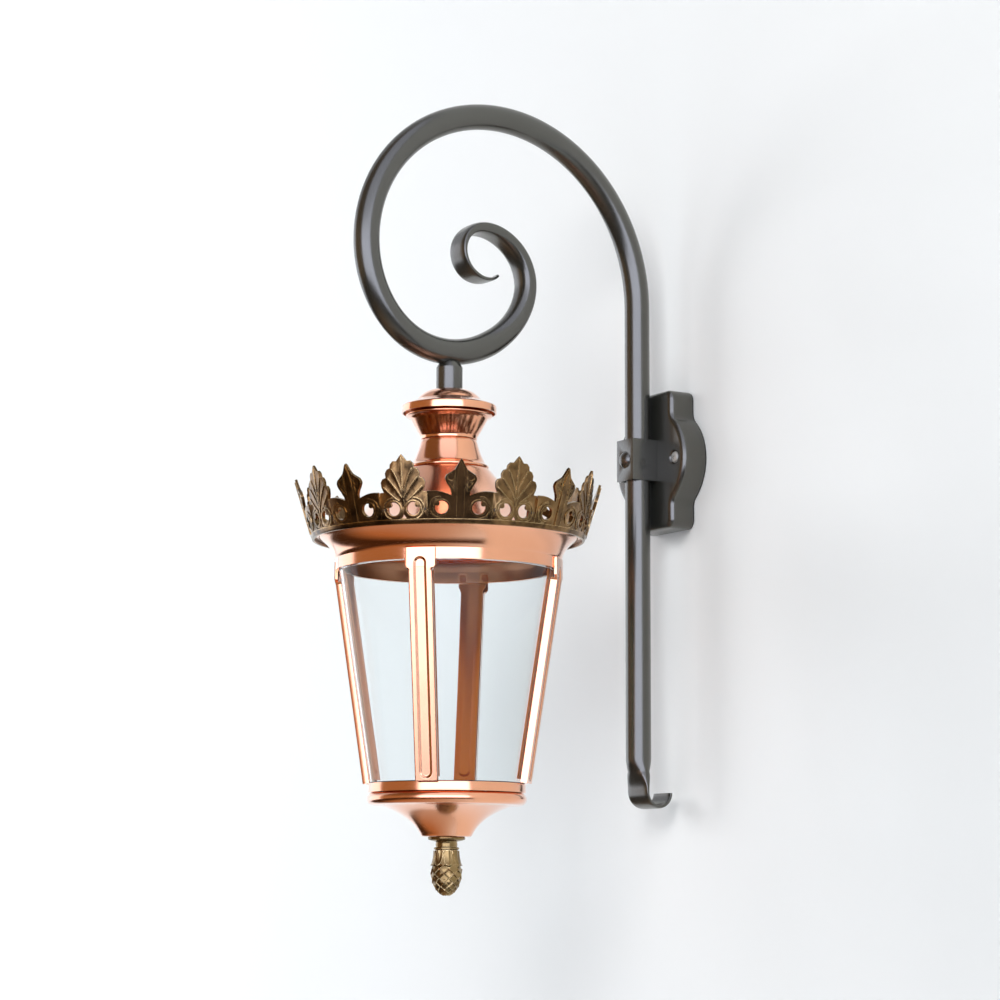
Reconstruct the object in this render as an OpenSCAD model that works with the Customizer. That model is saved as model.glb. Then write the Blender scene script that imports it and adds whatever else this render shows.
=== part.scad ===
// Round wall lantern that hangs from a forged scroll bracket.
// Frame: the wall is the plane Y = 0 and the light stands out towards -Y, +Z is up.
// The origin is the middle of the wall box on the wall, level with the clip bolt.

/* [Wall box] */
// Depth of the cast wall cover
cover_depth = 28; // [20:1:36]
// Half the height of the cover
cover_half_h = 68.5; // [62:0.5:80]
// Half the width of the cover at its shoulders
cover_shoulder = 37; // [32:0.5:42]
// Half the width of the cover at its round sides
cover_bulge = 58; // [54:0.5:64]
// Radius of the round sides
bulge_r = 50; // [46:0.5:56]
// Radius of the hollow between shoulder and round side
cove_r = 12; // [8:0.5:16]
// Radius of the cover's outer corners
cover_corner = 9; // [7:0.5:14]
// Rounding of the cover's front edge
cover_edge = 5; // [3:0.5:6]
// Wall thickness of the cover
cover_wall = 3.5; // [2.5:0.5:4]
// Thickness of the sealing gasket
gasket_t = 1.5; // [1:0.5:3]
// Thickness of the wall plate
plate_t = 3; // [2:0.5:4]
// Half the distance between the two wall screws
wall_hole_z = 48; // [40:1:52]
// Diameter of the wall screw holes
wall_hole_d = 6.5; // [4:0.5:8]
// Diameter of the supply cable hole in the wall plate
cable_hole_d = 16; // [10:1:20]
// Half the distance between the two cover screws
cover_screw_x = 42; // [38:0.5:45]
// Thread diameter of the cover screws
cover_screw_d = 5; // [4:0.5:6]
// Head diameter of the cover screws
cover_head_d = 11; // [8:0.5:12]

/* [Tube and clip] */
// Outer diameter of the bracket tube
tube_d = 25; // [20:0.5:27]
// Wall thickness of the bracket tube
tube_wall = 2.5; // [1.5:0.5:4]
// Distance of the tube's axis from the wall
tube_off = 42; // [41:1:60]
// Height of the tube clip
clip_h = 41; // [30:1:60]
// Thickness of the clip's sheet
clip_t = 2.5; // [1.5:0.5:4]
// Gap between the tube and the clip's front
clip_gap = 0.3; // [0.1:0.1:1]
// Shank diameter of the clip bolt
bolt_d = 8; // [6:0.5:10]
// Head diameter of the clip bolt
bolt_head_d = 17; // [13:0.5:20]
// Height of the bolt's round head
bolt_head_h = 4.5; // [3:0.5:8]

/* [Hook] */
// Distance from the clip bolt down to the start of the hook's curl
hook_drop = 325; // [200:1:400]
// Length over which the tube is hammered flat
hook_taper = 33; // [25:1:60]
// Radius of the curl
hook_r = 14.5; // [10:0.5:18]
// Angle of the curl
hook_turn = 176; // [90:1:190]
// Width of the flattened end
hook_w = 34; // [28:1:40]
// Width of the hook at its tip
hook_tip_w = 29; // [24:1:34]
// Thickness of the flattened end
hook_t = 4; // [2.5:0.5:6]

/* [Scroll] */
// Height of the point where the tube begins to bend
bend_z = 152; // [80:1:250]
// Overall size of the scroll against the drawn one
scroll_scale = 1; // [0.9:0.01:1.1]
// Width of the flattened inner end
curl_w = 28; // [24:0.5:32]
// Thickness of the flattened inner end
curl_t = 5; // [3:0.5:8]

/* [Hanging stem] */
// Diameter of the stem under the scroll
stem_d = 25; // [20:0.5:30]
// Length of the stem below the tube
stem_l = 24; // [18:1:60]
// Height of the cone at the stem's top
stem_cone = 6; // [2:0.5:8]
// Outer diameter of the threaded nipple
nipple_d = 12; // [10:0.5:14]
// Bore of the nipple for the wires
nipple_bore = 7; // [5:0.5:8]

/* [Copper shells] */
// Thickness of the spun copper sheet
copper_t = 1.4; // [1:0.1:2]
// Radius of the cap's lip
cap_r = 45; // [42:0.5:50]
// Height of the cap's dome
cap_dome = 16; // [12:0.5:22]
// Height of the cap's lip
cap_lip = 7.4; // [5:0.1:10]
// Radius of the bead under the cap
neck_top_r = 41; // [38:0.5:41.5]
// Height of the upper neck below the cap's lip
neck_top_h = 26; // [20:0.5:34]
// Radius at the waist of the neck
waist_r = 26; // [23:0.5:30]
// Height of the lower neck
neck_low_h = 28; // [22:0.5:40]
// Radius of the bead at the foot of the neck
neck_low_r = 38; // [35:0.5:44]
// Height of the roof
roof_h = 64; // [45:1:80]
// Radius of the roof's edge
roof_r = 126; // [123:0.5:130]
// Height of the cove under the crown
cove_h = 21.6; // [14:0.1:28]
// Height of the collar under the cove
collar_h = 11; // [9:0.5:20]
// Radius of the collar's lower rim
collar_r = 105.7; // [103:0.1:107]
// Distance from the collar's rim to the top of the base band
light_h = 199; // [120:0.5:260]
// Radius of the base band
band_r = 73.6; // [72:0.1:76]
// Height of the base band's upright part
band_h = 8.3; // [7:0.1:18]
// Height of the roll under the base band
roll_h = 11.5; // [8:0.1:16]
// Height of the bowl under the roll
bowl_h = 28.8; // [20:0.1:45]
// Radius of the bowl's lower end
bowl_r = 23.6; // [19:0.1:32]

/* [Glass and uprights] */
// Thickness of the glass
glass_t = 3; // [2:0.5:4]
// Distance of the glass inside the collar's face
glass_inset = 3.2; // [2:0.1:4]
// Gap between two neighbouring panes
pane_gap = 2; // [1:0.5:6]
// Width of an upright at its top
strip_w = 21.7; // [18:0.1:25]
// Width of an upright at its foot
strip_w_low = 20.5; // [16:0.1:24]
// Width of the plate on an upright's top
head_w = 28.6; // [26:0.2:34]
// Height of the plate on an upright's top
head_h = 16.6; // [15:0.2:24]
// Thickness of the uprights' sheet
strip_t = 1.5; // [1:0.1:2]
// Distance of an upright's face from the glass
strip_gap = 6; // [5:0.1:7]
// Length of an upright beyond the edge of the base band
strip_over = 0; // [0:0.1:5]
// Width of the groove pressed into an upright
groove_w = 11.8; // [8:0.2:14]
// Depth of the pressed groove
groove_d = 1.2; // [0.6:0.1:2]
// Thickness of the bars behind the glass
bar_t = 1.5; // [1.4:0.1:3]

/* [Crown] */
// How far the crown band's lower edge stands outside the roof
crown_out = 2.2; // [1.6:0.1:4]
// Lean of the leaves from upright, in degrees
leaf_lean = 11.5; // [8:0.5:16]
// Lean of the spears from upright, in degrees
spear_lean = 17; // [10:0.5:20]
// Half the angle round the lantern that a leaf casting takes, in degrees
leaf_a = 9.7; // [9.6:0.05:10.2]
// Turn of the crown about the lantern, in degrees
crown_turn = -49; // [-90:0.1:90]
// Height of the plain band that carries the castings
crown_band_h = 4.2; // [3:0.1:8]
// Thickness of the castings
casting_t = 2.4; // [1.8:0.1:3]
// Height of the relief on the castings
relief = 0.8; // [0.3:0.1:1.5]
// Number of leaves, with as many spears between them
leaf_n = 8; // [8:1:8]
// Height of a leaf casting
leaf_h = 58.4; // [56:0.2:66]
// Height of a spear casting
spear_h = 54.2; // [51:0.2:60]
// Half the width of a spear at its shoulders
spear_w = 14.4; // [13.6:0.2:16]
// Radius of the round openings
eye_r = 6; // [5:0.1:6.2]
// Height of the openings' middle above the band
eye_v = 9.2; // [8.6:0.1:10]
// Distance of the openings from the middle of a leaf
leaf_eye_u = 9.2; // [8.8:0.1:9.8]
// Distance of the openings from the middle of a spear
spear_eye_u = 16.7; // [16.4:0.1:18]
// Height of the castings at their joint
lattice_h = 24.5; // [20:0.5:28]
// Diameter of the rivets
rivet_d = 2.6; // [1.6:0.1:3]

/* [Finial] */
// Radius of the flange under the bowl
flange_r = 17.4; // [14:0.1:19]
// Radius of the finial's neck
finial_neck_r = 10.5; // [8:0.1:12]
// Radius of the leafy collar
collar_leaf_r = 15.4; // [13:0.1:17]
// Greatest radius of the cone
pine_r = 14; // [11:0.1:16]
// Length of the scaly cone below the leafy collar
pine_h = 27.5; // [20:0.5:45]
// Scales round the cone
pine_n = 9; // [7:1:12]
// Rows of scales
pine_rows = 6; // [4:1:8]
// Height of a scale's point
scale_h = 1.4; // [0.5:0.1:2]

/* [Lamp] */
// Gap between the edge of the lamp plate and the rim of the roof
gear_gap = 12; // [11:0.5:26]
// Thickness of the lamp plate
gear_t = 1.5; // [1:0.5:3]
// Radius of the light source board
board_r = 42; // [25:1:60]
// Radius of the lens ring
lens_r = 48; // [45:1:66]
// Depth of the lens below the lamp plate
lens_h = 9; // [6:0.5:12]

/* [Hidden] */
fit = 0.3;
seat = 0.2;
round_fn = 96;
tube_r = tube_d / 2;
iron = [0.31, 0.30, 0.28];
copper = [0.86, 0.53, 0.36];
bronze = [0.36, 0.29, 0.18];
steel = [0.72, 0.72, 0.70];
rubber = [0.08, 0.08, 0.08];

// Outline helpers

function flip(list) = [for (i = [len(list) - 1:-1:0]) list[i]];
function unit(v) = v / norm(v);
function arc_pts(c, r, a0, a1, n) =
    [for (i = [0:n]) let (a = a0 + (a1 - a0) * i / n) c + r * [cos(a), sin(a)]];
function bend_pts(p, q, s, n) =
    [for (i = [0:n]) let (t = i / n) p * (1 - t) * (1 - t) + q * 2 * t * (1 - t) + s * t * t];
function side_dir(p, i) =
    let (a = p[max(i - 1, 0)], b = p[min(i + 1, len(p) - 1)], d = unit(b - a)) [-d[1], d[0]];
function beside(p, t) = [for (i = [0:len(p) - 1]) p[i] + t * side_dir(p, i)];

// A spun shell: an outline turned about Z, its wall lying on the outline's left side.
module spun(outline, t) {
    rotate_extrude($fn = round_fn) polygon(concat(outline, flip(beside(outline, t))));
}

// A spun shell between two outlines that run the same way.
module turned(outer, inner) {
    rotate_extrude($fn = round_fn) polygon(concat(outer, flip(inner)));
}

module ring(r_out, r_in, z0, z1) {
    translate([0, 0, z0]) difference() {
        cylinder(h = z1 - z0, r = r_out, $fn = round_fn);
        translate([0, 0, -1]) cylinder(h = z1 - z0 + 2, r = r_in, $fn = round_fn);
    }
}

// A solid skin over rings of points, all with the same number of points.
module skin(rings) {
    m = len(rings[0]);
    n = len(rings);
    sides = [for (i = [0:n - 2], j = [0:m - 1])
        let (a = i * m + j, b = i * m + (j + 1) % m) each [[a, b, b + m], [a, b + m, a + m]]];
    caps = [[for (j = [m - 1:-1:0]) j], [for (j = [0:m - 1]) (n - 1) * m + j]];
    polyhedron(points = [for (r = rings) each r], faces = concat(sides, caps), convexity = 8);
}

// Scroll bracket

scroll_radius = [[0, 182], [60, 162], [120, 148], [180, 124], [240, 77], [300, 102],
    [360, 45], [420, 56], [480, 21], [560, 27], [700, 24]];
scroll_turn = 672;
scroll_step = 8;
flat_start = 300;
low_turn = 270;
scroll_width = [[flat_start, tube_d], [400, tube_d + 1.5], [540, curl_w], [600, curl_w - 1],
    [640, curl_w * 0.8], [scroll_turn, curl_w * 0.3]];
scroll_thick = [[flat_start, tube_d], [360, tube_d * 0.7], [450, tube_d * 0.48],
    [540, curl_t + 1], [600, curl_t], [scroll_turn, curl_t * 0.6]];
scroll_power = [[flat_start, 2], [360, 2.6], [450, 3.2], [scroll_turn, 4]];
bore_end = 330;

function radius_at(turn) = scroll_scale * lookup(turn, scroll_radius);
function scroll_next(p, turn, step) = let (a = 90 + turn + step / 2)
    p + 2 * radius_at(turn + step / 2) * sin(step / 2) * [cos(a), sin(a)];
function scroll_path(to, step) = [for (turn = 0, p = [-tube_off, bend_z]; turn <= to;
    p = scroll_next(p, turn, step), turn = turn + step) [p[0], p[1], turn]];
lowest = let (path = scroll_path(low_turn + 1, 1)) path[low_turn];

// One section of the tube: place on the bracket plane, heading, width, thickness, squareness.
function section(p, heading, w, t, power, m) = [for (j = [0:m - 1])
    let (a = 360 * j / m, c = cos(a), s = sin(a),
        across = w / 2 * sign(c) * pow(abs(c), 2 / power),
        out = t / 2 * sign(s) * pow(abs(s), 2 / power))
    [across, p[0] - out * sin(heading), p[1] + out * cos(heading)]];

hook_step = 16;
hook_power = 5;
hook_sections = [for (k = [0:1:11]) let (a = hook_turn * (1 - k / 11))
    section([-tube_off + hook_r * (1 - cos(a)), -hook_drop - hook_r * sin(a)], 90 + a,
        hook_tip_w + (hook_w - hook_tip_w) * k / 11, hook_t, hook_power, 20)];
taper_sections = [for (k = [1:8]) let (t = k / 8, s = t * t * (3 - 2 * t))
    section([-tube_off, -hook_drop + hook_taper * t], 90,
        hook_w + (tube_d - hook_w) * s, hook_t + (tube_d - hook_t) * s,
        hook_power + (2 - hook_power) * min(1, 1.6 * s), 20)];
scroll_sections = [for (q = scroll_path(scroll_turn, scroll_step)) section([q[0], q[1]], 90 + q[2],
    lookup(q[2], scroll_width), lookup(q[2], scroll_thick), lookup(q[2], scroll_power), 20)];

module tube_bore() {
    d = tube_d - 2 * tube_wall;
    low = [for (z = [-hook_drop + hook_taper * 0.9, -hook_drop + hook_taper])
        section([-tube_off, z], 90, d * (z < -hook_drop + hook_taper ? 0.7 : 1),
            d * (z < -hook_drop + hook_taper ? 0.7 : 1), 2, 12)];
    skin(concat(low, [for (q = scroll_path(bore_end, 15))
        section([q[0], q[1]], 90 + q[2], min(d, lookup(q[2], scroll_width) - 2 * tube_wall),
            min(d, lookup(q[2], scroll_thick) - 2 * tube_wall), 2, 12)]));
}

grommet_z = 34;
grommet_d = 12;

module scroll_tube() {
    color(iron) difference() {
        skin(concat(hook_sections, taper_sections, scroll_sections));
        tube_bore();
        translate([0, -tube_off - tube_d, 0]) rotate([-90, 0, 0])
            cylinder(h = 2 * tube_d, d = bolt_d + 2 * fit, $fn = 32);
        translate([0, -tube_off, grommet_z]) rotate([-90, 0, 0])
            cylinder(h = tube_d, d = grommet_d - 4, $fn = 32);
        translate([0, -reach, lowest[1] - tube_d]) cylinder(h = tube_d, d = nipple_bore, $fn = 32);
    }
}

// The lantern hangs on this vertical axis, straight below the scroll's lowest point.
reach = -lowest[0] - 3.5;
stem_top = lowest[1] - tube_r;
stem_bottom = stem_top - stem_l;
saddle_turn_r = radius_at(low_turn);
nipple_in = 13;

module at_lantern() { translate([0, -reach, 0]) children(); }

module drop_stem() {
    color(iron) difference() {
        at_lantern() union() {
            translate([0, 0, stem_bottom])
                cylinder(h = stem_l - stem_cone / 2, d = stem_d, $fn = round_fn);
            translate([0, 0, stem_bottom + stem_l - stem_cone / 2])
                cylinder(h = stem_cone, d1 = stem_d, d2 = stem_d - 7, $fn = round_fn);
        }
        translate([0, lowest[0], lowest[1] + saddle_turn_r]) rotate([0, 90, 0])
            rotate_extrude($fn = round_fn) translate([saddle_turn_r, 0])
                circle(r = tube_r + seat, $fn = 48);
        at_lantern() translate([0, 0, stem_bottom - 1])
            cylinder(h = nipple_in + 1 + fit, d = nipple_d + fit, $fn = 48);
        at_lantern() translate([0, 0, stem_bottom])
            cylinder(h = stem_l + tube_r, d = nipple_bore, $fn = 48);
    }
}

// Heights down the lantern, each from the piece above

cap_top = stem_bottom;
lip_top = cap_top - cap_dome;
lip_low = lip_top - cap_lip;
waist_z = lip_low - neck_top_h;
neck_foot = waist_z - neck_low_h;
roof_foot = neck_foot - roof_h;
cove_low = roof_foot - cove_h;
rim_z = cove_low - collar_h;
band_top = rim_z - light_h;
band_low = band_top - band_h;
roll_low = band_low - roll_h;
bowl_low = roll_low - bowl_h;

// Cap, neck and roof

dome_outline = concat([[nipple_d / 2 + fit, cap_top]],
    bend_pts([stem_d / 2, cap_top], [cap_r * 0.52, cap_top - 1.2], [cap_r * 0.66, cap_top - 9], 7),
    bend_pts([cap_r * 0.7, cap_top - 11.2], [cap_r * 0.82, lip_top + 2.6], [cap_r - 1, lip_top], 4),
    [[cap_r, lip_top - 1], [cap_r, lip_low]]);

module cap() {
    color(copper) at_lantern() spun(dome_outline, -copper_t);
}

rim_r = cap_r * 0.8;
rim_z_top = lip_top + 0.2;
flange_in = 15;
bead = 2.6;
upper_funnel = bend_pts([neck_top_r - 4.4, lip_low - bead - 2.6], [waist_r + 6, waist_z + 11.5],
    [waist_r + 0.6, waist_z + 3], 6);
upper_neck_outer = concat([[rim_r, rim_z_top], [rim_r, lip_low - 0.8], [neck_top_r - 1, lip_low - 0.8]],
    arc_pts([neck_top_r - bead / 2, lip_low - 0.8 - bead / 2], bead / 2, 60, -90, 6),
    [[neck_top_r - 3.2, lip_low - bead - 1.4]], upper_funnel,
    [[waist_r + 0.8, waist_z + 1], [waist_r, waist_z], [flange_in, waist_z]]);
upper_neck_inner = concat([[rim_r - copper_t, rim_z_top], [rim_r - copper_t, lip_low - bead - 2]],
    beside(upper_funnel, -copper_t), [[waist_r - copper_t, waist_z + copper_t],
    [flange_in, waist_z + copper_t]]);

module upper_neck() {
    color(copper) at_lantern() turned(upper_neck_outer, upper_neck_inner);
}

lower_funnel = bend_pts([waist_r + 1, waist_z - 2], [neck_low_r - 8, neck_foot + 14],
    [neck_low_r - 3.4, neck_foot + 6], 8);
lower_neck_outer = concat([[flange_in, waist_z], [waist_r, waist_z]], lower_funnel,
    [[neck_low_r - 2, neck_foot + 4.6]],
    arc_pts([neck_low_r - 1.8, neck_foot + 2.2], 1.8, 70, -60, 6),
    [[neck_low_r - 9, neck_foot]]);
lower_neck_inner = concat([[flange_in, waist_z - copper_t], [waist_r - 0.8, waist_z - copper_t]],
    beside(lower_funnel, -copper_t), [[neck_low_r - 4.6, neck_foot + copper_t],
    [neck_low_r - 9, neck_foot + copper_t]]);

module lower_neck() {
    color(copper) at_lantern() turned(lower_neck_outer, lower_neck_inner);
}

roof_flange = 5;
roof_outline = concat([[neck_low_r - 9, neck_foot], [neck_low_r + 0.6, neck_foot]],
    bend_pts([neck_low_r + 1.4, neck_foot - 0.8], [neck_low_r + 30, neck_foot - roof_h * 0.56],
        [roof_r - roof_flange - 2, roof_foot + copper_t + 1.6], 12),
    [[roof_r - roof_flange, roof_foot + copper_t], [roof_r, roof_foot + copper_t]]);

module roof() {
    color(copper) at_lantern() spun(roof_outline, -copper_t);
}

// Upper band with its cove and collar

gear_screw_d = 3.4;
gear_r = roof_r - gear_gap;
gear_screw_r = gear_r - 3;
shelf_in = gear_r - 7;
cove_top_r = roof_r - 4.5;
cove_foot = cove_low + 0.6;
flange_r_in = collar_r - 7.9;
cove_curve = bend_pts([cove_top_r, roof_foot - copper_t - 0.8],
    [collar_r + 4, roof_foot - cove_h * 0.42], [collar_r + 1.6, cove_foot], 8);
upper_band_outer = concat([[shelf_in, roof_foot], [roof_r, roof_foot], [roof_r, roof_foot - copper_t],
    [cove_top_r + 0.6, roof_foot - copper_t]], cove_curve,
    [[collar_r, cove_low - 0.6], [collar_r, rim_z], [flange_r_in, rim_z]]);
upper_band_inner = concat([[flange_r_in, rim_z + copper_t],
    [collar_r - copper_t, rim_z + copper_t], [collar_r - copper_t, cove_foot]],
    [for (p = flip(cove_curve)) p - [copper_t, 0]],
    [[cove_top_r - copper_t, roof_foot - copper_t], [shelf_in, roof_foot - copper_t]]);

module upper_band() {
    color(copper) at_lantern() difference() {
        rotate_extrude($fn = round_fn) polygon(concat(upper_band_outer, upper_band_inner));
        gear_places() translate([0, 0, roof_foot - 5]) cylinder(h = 10, d = gear_screw_d, $fn = 24);
        head_places() translate([0, 0, -6]) cylinder(h = 8, d = pin_d, $fn = 24);
    }
}

// Crown: a plain band that carries curved castings, leaves and spears in turn

spear_a = 180 / leaf_n - leaf_a;
crown_low = roof_foot - crown_band_h + 0.2;
crown_seat = crown_low + crown_band_h;
crown_r = roof_r + crown_out;
face_r = crown_r + crown_band_h * tan(spear_lean);
edge_a = seat / 2 / crown_r * 180 / PI;

module crown_band() {
    out = [[crown_r - crown_out, crown_low], [crown_r, crown_low], [face_r + 0.2, crown_seat],
        [roof_r + fit, crown_seat], [roof_r + fit, crown_low + 0.9]];
    color(bronze) at_lantern() rotate_extrude($fn = round_fn) polygon(out);
}

// Part of the leaning shell that castings are cut from, between two depths and two angles.
module crown_shell(lean, back, front, a0, a1) {
    k = 1 / cos(lean);
    up = leaf_h + 4;
    rotate([0, 0, a0]) rotate_extrude(angle = a1 - a0, $fn = round_fn)
        polygon([[face_r + back * k, crown_seat], [face_r + front * k, crown_seat],
            [face_r + front * k + up * tan(lean), crown_seat + up],
            [face_r + back * k + up * tan(lean), crown_seat + up]]);
}

// Cuts the shell to a shape that is drawn upright, X across and Y up the lean.
module crown_cut(lean, back, front, half) {
    intersection() {
        crown_shell(lean, back, front, -half + edge_a, half - edge_a);
        translate([face_r, 0, crown_seat]) rotate([90 + lean, 0, 90]) translate([0, 0, -16])
            linear_extrude(22) children();
    }
}

module both_sides() {
    children();
    mirror([1, 0]) children();
}

function mirrored(half) = concat(half, [for (p = flip(half)) [-p[0], p[1]]]);

leaf_w = face_r * tan(leaf_a) + 1;
spear_edge_w = face_r * tan(spear_a) + 1.5;
curl_ring = 1.6;
curl_arm = 10.4;
hook_end = 2.4;

// An opening with the curled end of its scroll inside it.
module eye(u, v) {
    difference() {
        translate([u, v]) circle(r = eye_r, $fn = 28);
        translate([u + 4.2, v + 3.6]) circle(r = hook_end, $fn = 16);
    }
}

// The raised scroll round an opening: its rim, its curled end and an arm outside it.
module eye_scroll(u, v, arm_u) {
    difference() {
        union() {
            translate([u, v]) circle(r = eye_r + curl_ring, $fn = 28);
            difference() {
                translate([arm_u, v]) circle(r = curl_arm, $fn = 36);
                translate([arm_u, v]) circle(r = curl_arm - 1.3, $fn = 36);
                translate([arm_u - 14, v - 14]) square([14, 28]);
            }
        }
        translate([u, v]) circle(r = eye_r, $fn = 28);
        translate([u - 40, -6]) square([80, 6.4]);
    }
    translate([u + 4.2, v + 3.6]) circle(r = hook_end, $fn = 16);
}

leaf_root = 13;
leaf_edge = [[4.6, 52.4], [8.3, 52.4], [10.9, 49.6], [11.4, 46.2], [14.3, 45], [16.2, 41.6],
    [15.8, 37.6], [19.2, 36.4], [20.9, 33.2], [20.3, 28.8], [18.4, 24.4], [15.6, 20.6]];
vein_runs = [[[1.2, 22], [3.5, 34], [10.2, 45.2]], [[0.7, 17], [6, 27], [15, 37.2]],
    [[4, 15.6], [11, 20.5], [19, 28.8]]];
vein_w = 1.1;

module leaf_blade() {
    polygon(mirrored(concat([[12, 14]], flip(leaf_edge), [[2.4, leaf_h - 3], [0, leaf_h]])));
}

// Veins spread from the foot of the leaf and bend out to the notches between its scallops.
module leaf_veins() {
    polygon([[-0.8, leaf_root], [0.8, leaf_root], [0.35, leaf_h - 3], [-0.35, leaf_h - 3]]);
    both_sides() for (q = vein_runs) {
        side = bend_pts(q[0], q[1], q[2], 6);
        polygon(concat(side, flip(beside(side, vein_w))));
    }
}

module lattice_top(edge, inner_u, inner_v) {
    polygon(concat([[0, -4], [edge, -4], [edge, lattice_h - 0.6]],
        bend_pts([edge - 5, lattice_h], [(edge + inner_u) / 2, lattice_h + 1], [inner_u, inner_v], 5),
        [[0, inner_v]]));
}

module leaf_outline() {
    difference() {
        union() {
            both_sides() lattice_top(leaf_w, 14, 18.5);
            leaf_blade();
        }
        both_sides() eye(leaf_eye_u, eye_v);
        polygon([[-2.2, 0.8], [2.2, 0.8], [0, 4.6]]);
    }
}

module leaf_casting() {
    difference() {
        crown_cut(leaf_lean, -casting_t, 0, leaf_a) leaf_outline();
        for (side = [-1, 1]) at_rivet(side) translate([0, 0, -6]) cylinder(h = 12, d = rivet_d, $fn = 16);
    }
    crown_cut(leaf_lean, -0.6, relief, leaf_a) both_sides() eye_scroll(leaf_eye_u, eye_v, leaf_eye_u);
    crown_cut(leaf_lean, -0.6, relief, leaf_a) leaf_veins();
}

spear_half = [[8.6, -4], [8.4, 12], [8.2, 21], [8.8, 25], [10.4, 28.4], [12.6, 31.4], [14.3, 34.6],
    [spear_w, 36.6], [13.2, 39.4], [9, 42.2], [5.8, 44.4], [3.4, 48.6], [1.4, spear_h - 1.4],
    [0, spear_h]];
spear_rib = [[3.6, -4], [3.5, 22], [3.8, 28], [3.6, 38], [2, 46], [0, spear_h - 2.5]];

module spear_outline() {
    difference() {
        union() {
            both_sides() lattice_top(spear_edge_w, 8, 21);
            polygon(mirrored(spear_half));
        }
        both_sides() eye(spear_eye_u, eye_v + 0.6);
    }
}

// Raised rims of the spear's two barbs, each round a dished eye.
module spear_barb() {
    difference() {
        intersection() {
            polygon(spear_half);
            translate([5.4, 25]) square([12, 20]);
        }
        translate([9, 37.4]) circle(r = 2.9, $fn = 20);
        polygon([[6.6, 27.4], [11, 32.4], [6.4, 33.4]]);
    }
}

module spear_casting() {
    crown_cut(spear_lean, -casting_t, 0, spear_a) spear_outline();
    crown_cut(spear_lean, -0.6, relief, spear_a) both_sides()
        eye_scroll(spear_eye_u, eye_v + 0.6, spear_eye_u + 1);
    crown_cut(spear_lean, -0.6, relief * 1.3, spear_a) polygon(mirrored(spear_rib));
    crown_cut(spear_lean, -0.6, relief * 0.8, spear_a) both_sides() spear_barb();
}

// The ends of a spear casting reach behind the next leaves, where a rivet holds both.
rivet_in = 3.2;
rivet_a = leaf_a - rivet_in / crown_r * 180 / PI;
rivet_v = 8.4;
tab_top = 13;
tab_t = 1.8;
tab_back = 0.05;
tab_a = 6.6 / crown_r * 180 / PI;

module joint_tab(side) {
    low = -casting_t - tab_t - tab_back;
    difference() {
        intersection() {
            union() {
                if (side > 0) {
                    crown_shell(leaf_lean, low, -casting_t - tab_back, leaf_a - tab_a, leaf_a + 1);
                    crown_shell(leaf_lean, low + 0.3, -1, leaf_a + 0.2, leaf_a + 1.9);
                } else {
                    crown_shell(leaf_lean, low, -casting_t - tab_back, -leaf_a - 1, tab_a - leaf_a);
                    crown_shell(leaf_lean, low + 0.3, -1, -leaf_a - 1.9, -leaf_a - 0.2);
                }
            }
            translate([0, 0, crown_seat]) cylinder(h = tab_top, r = 2 * face_r, $fn = 24);
        }
        at_rivet(side) translate([0, 0, -9]) cylinder(h = 18, d = rivet_d, $fn = 16);
    }
}

// Puts a rivet, drawn along Z with its head behind, in the end of a leaf casting.
module at_rivet(side) {
    rotate([0, 0, side * rivet_a]) translate([face_r, 0, crown_seat]) rotate([90 + leaf_lean, 0, 90])
        translate([0, rivet_v, 0]) children();
}

module leaf_at(i) {
    color(bronze) at_lantern() rotate([0, 0, crown_turn + i * 360 / leaf_n]) leaf_casting();
}

module spear_at(i) {
    color(bronze) at_lantern() rotate([0, 0, crown_turn + i * 360 / leaf_n]) {
        rotate([0, 0, 180 / leaf_n]) spear_casting();
        joint_tab(1);
        rotate([0, 0, 360 / leaf_n]) joint_tab(-1);
    }
}

module crown_leaf_1() { leaf_at(0); }
module crown_leaf_2() { leaf_at(1); }
module crown_leaf_3() { leaf_at(2); }
module crown_leaf_4() { leaf_at(3); }
module crown_leaf_5() { leaf_at(4); }
module crown_leaf_6() { leaf_at(5); }
module crown_leaf_7() { leaf_at(6); }
module crown_leaf_8() { leaf_at(7); }
module crown_spear_1() { spear_at(0); }
module crown_spear_2() { spear_at(1); }
module crown_spear_3() { spear_at(2); }
module crown_spear_4() { spear_at(3); }
module crown_spear_5() { spear_at(4); }
module crown_spear_6() { spear_at(5); }
module crown_spear_7() { spear_at(6); }
module crown_spear_8() { spear_at(7); }

module crown_rivets() {
    color(rubber) at_lantern() for (i = [0:leaf_n - 1], side = [-1, 1])
        rotate([0, 0, crown_turn + i * 360 / leaf_n]) at_rivet(side) {
            back = -casting_t - tab_t - tab_back;
            translate([0, 0, back - 0.4]) cylinder(h = -back - 0.1, d = rivet_d - 0.1, $fn = 16);
            translate([0, 0, back - 1.2]) cylinder(h = 1.15, d = rivet_d + 1.6, $fn = 16);
        }
}

// Glass: four panes of a cone between the collar and the base band

seat_t = 0.8;
glass_top = rim_z - seat;
glass_low = band_top + seat_t;
glass_r_top = collar_r - glass_inset;
glass_r_low = band_r - 1.1;
glass_lean = atan2(glass_r_top - glass_r_low, light_h);
function glass_r(z) = glass_r_top + (z - rim_z) * tan(glass_lean);

module pane(i) {
    half_gap = asin(pane_gap / 2 / glass_r(glass_low));
    across = glass_t / cos(glass_lean);
    color([0.85, 0.93, 0.95, 0.35]) at_lantern() rotate([0, 0, i * 90 - 45 + half_gap])
        rotate_extrude(angle = 90 - 2 * half_gap, $fn = round_fn)
            polygon([[glass_r(glass_low), glass_low], [glass_r(glass_top), glass_top],
                [glass_r(glass_top) - across, glass_top], [glass_r(glass_low) - across, glass_low]]);
}

module glass_pane_1() { pane(0); }
module glass_pane_2() { pane(1); }
module glass_pane_3() { pane(2); }
module glass_pane_4() { pane(3); }

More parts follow.
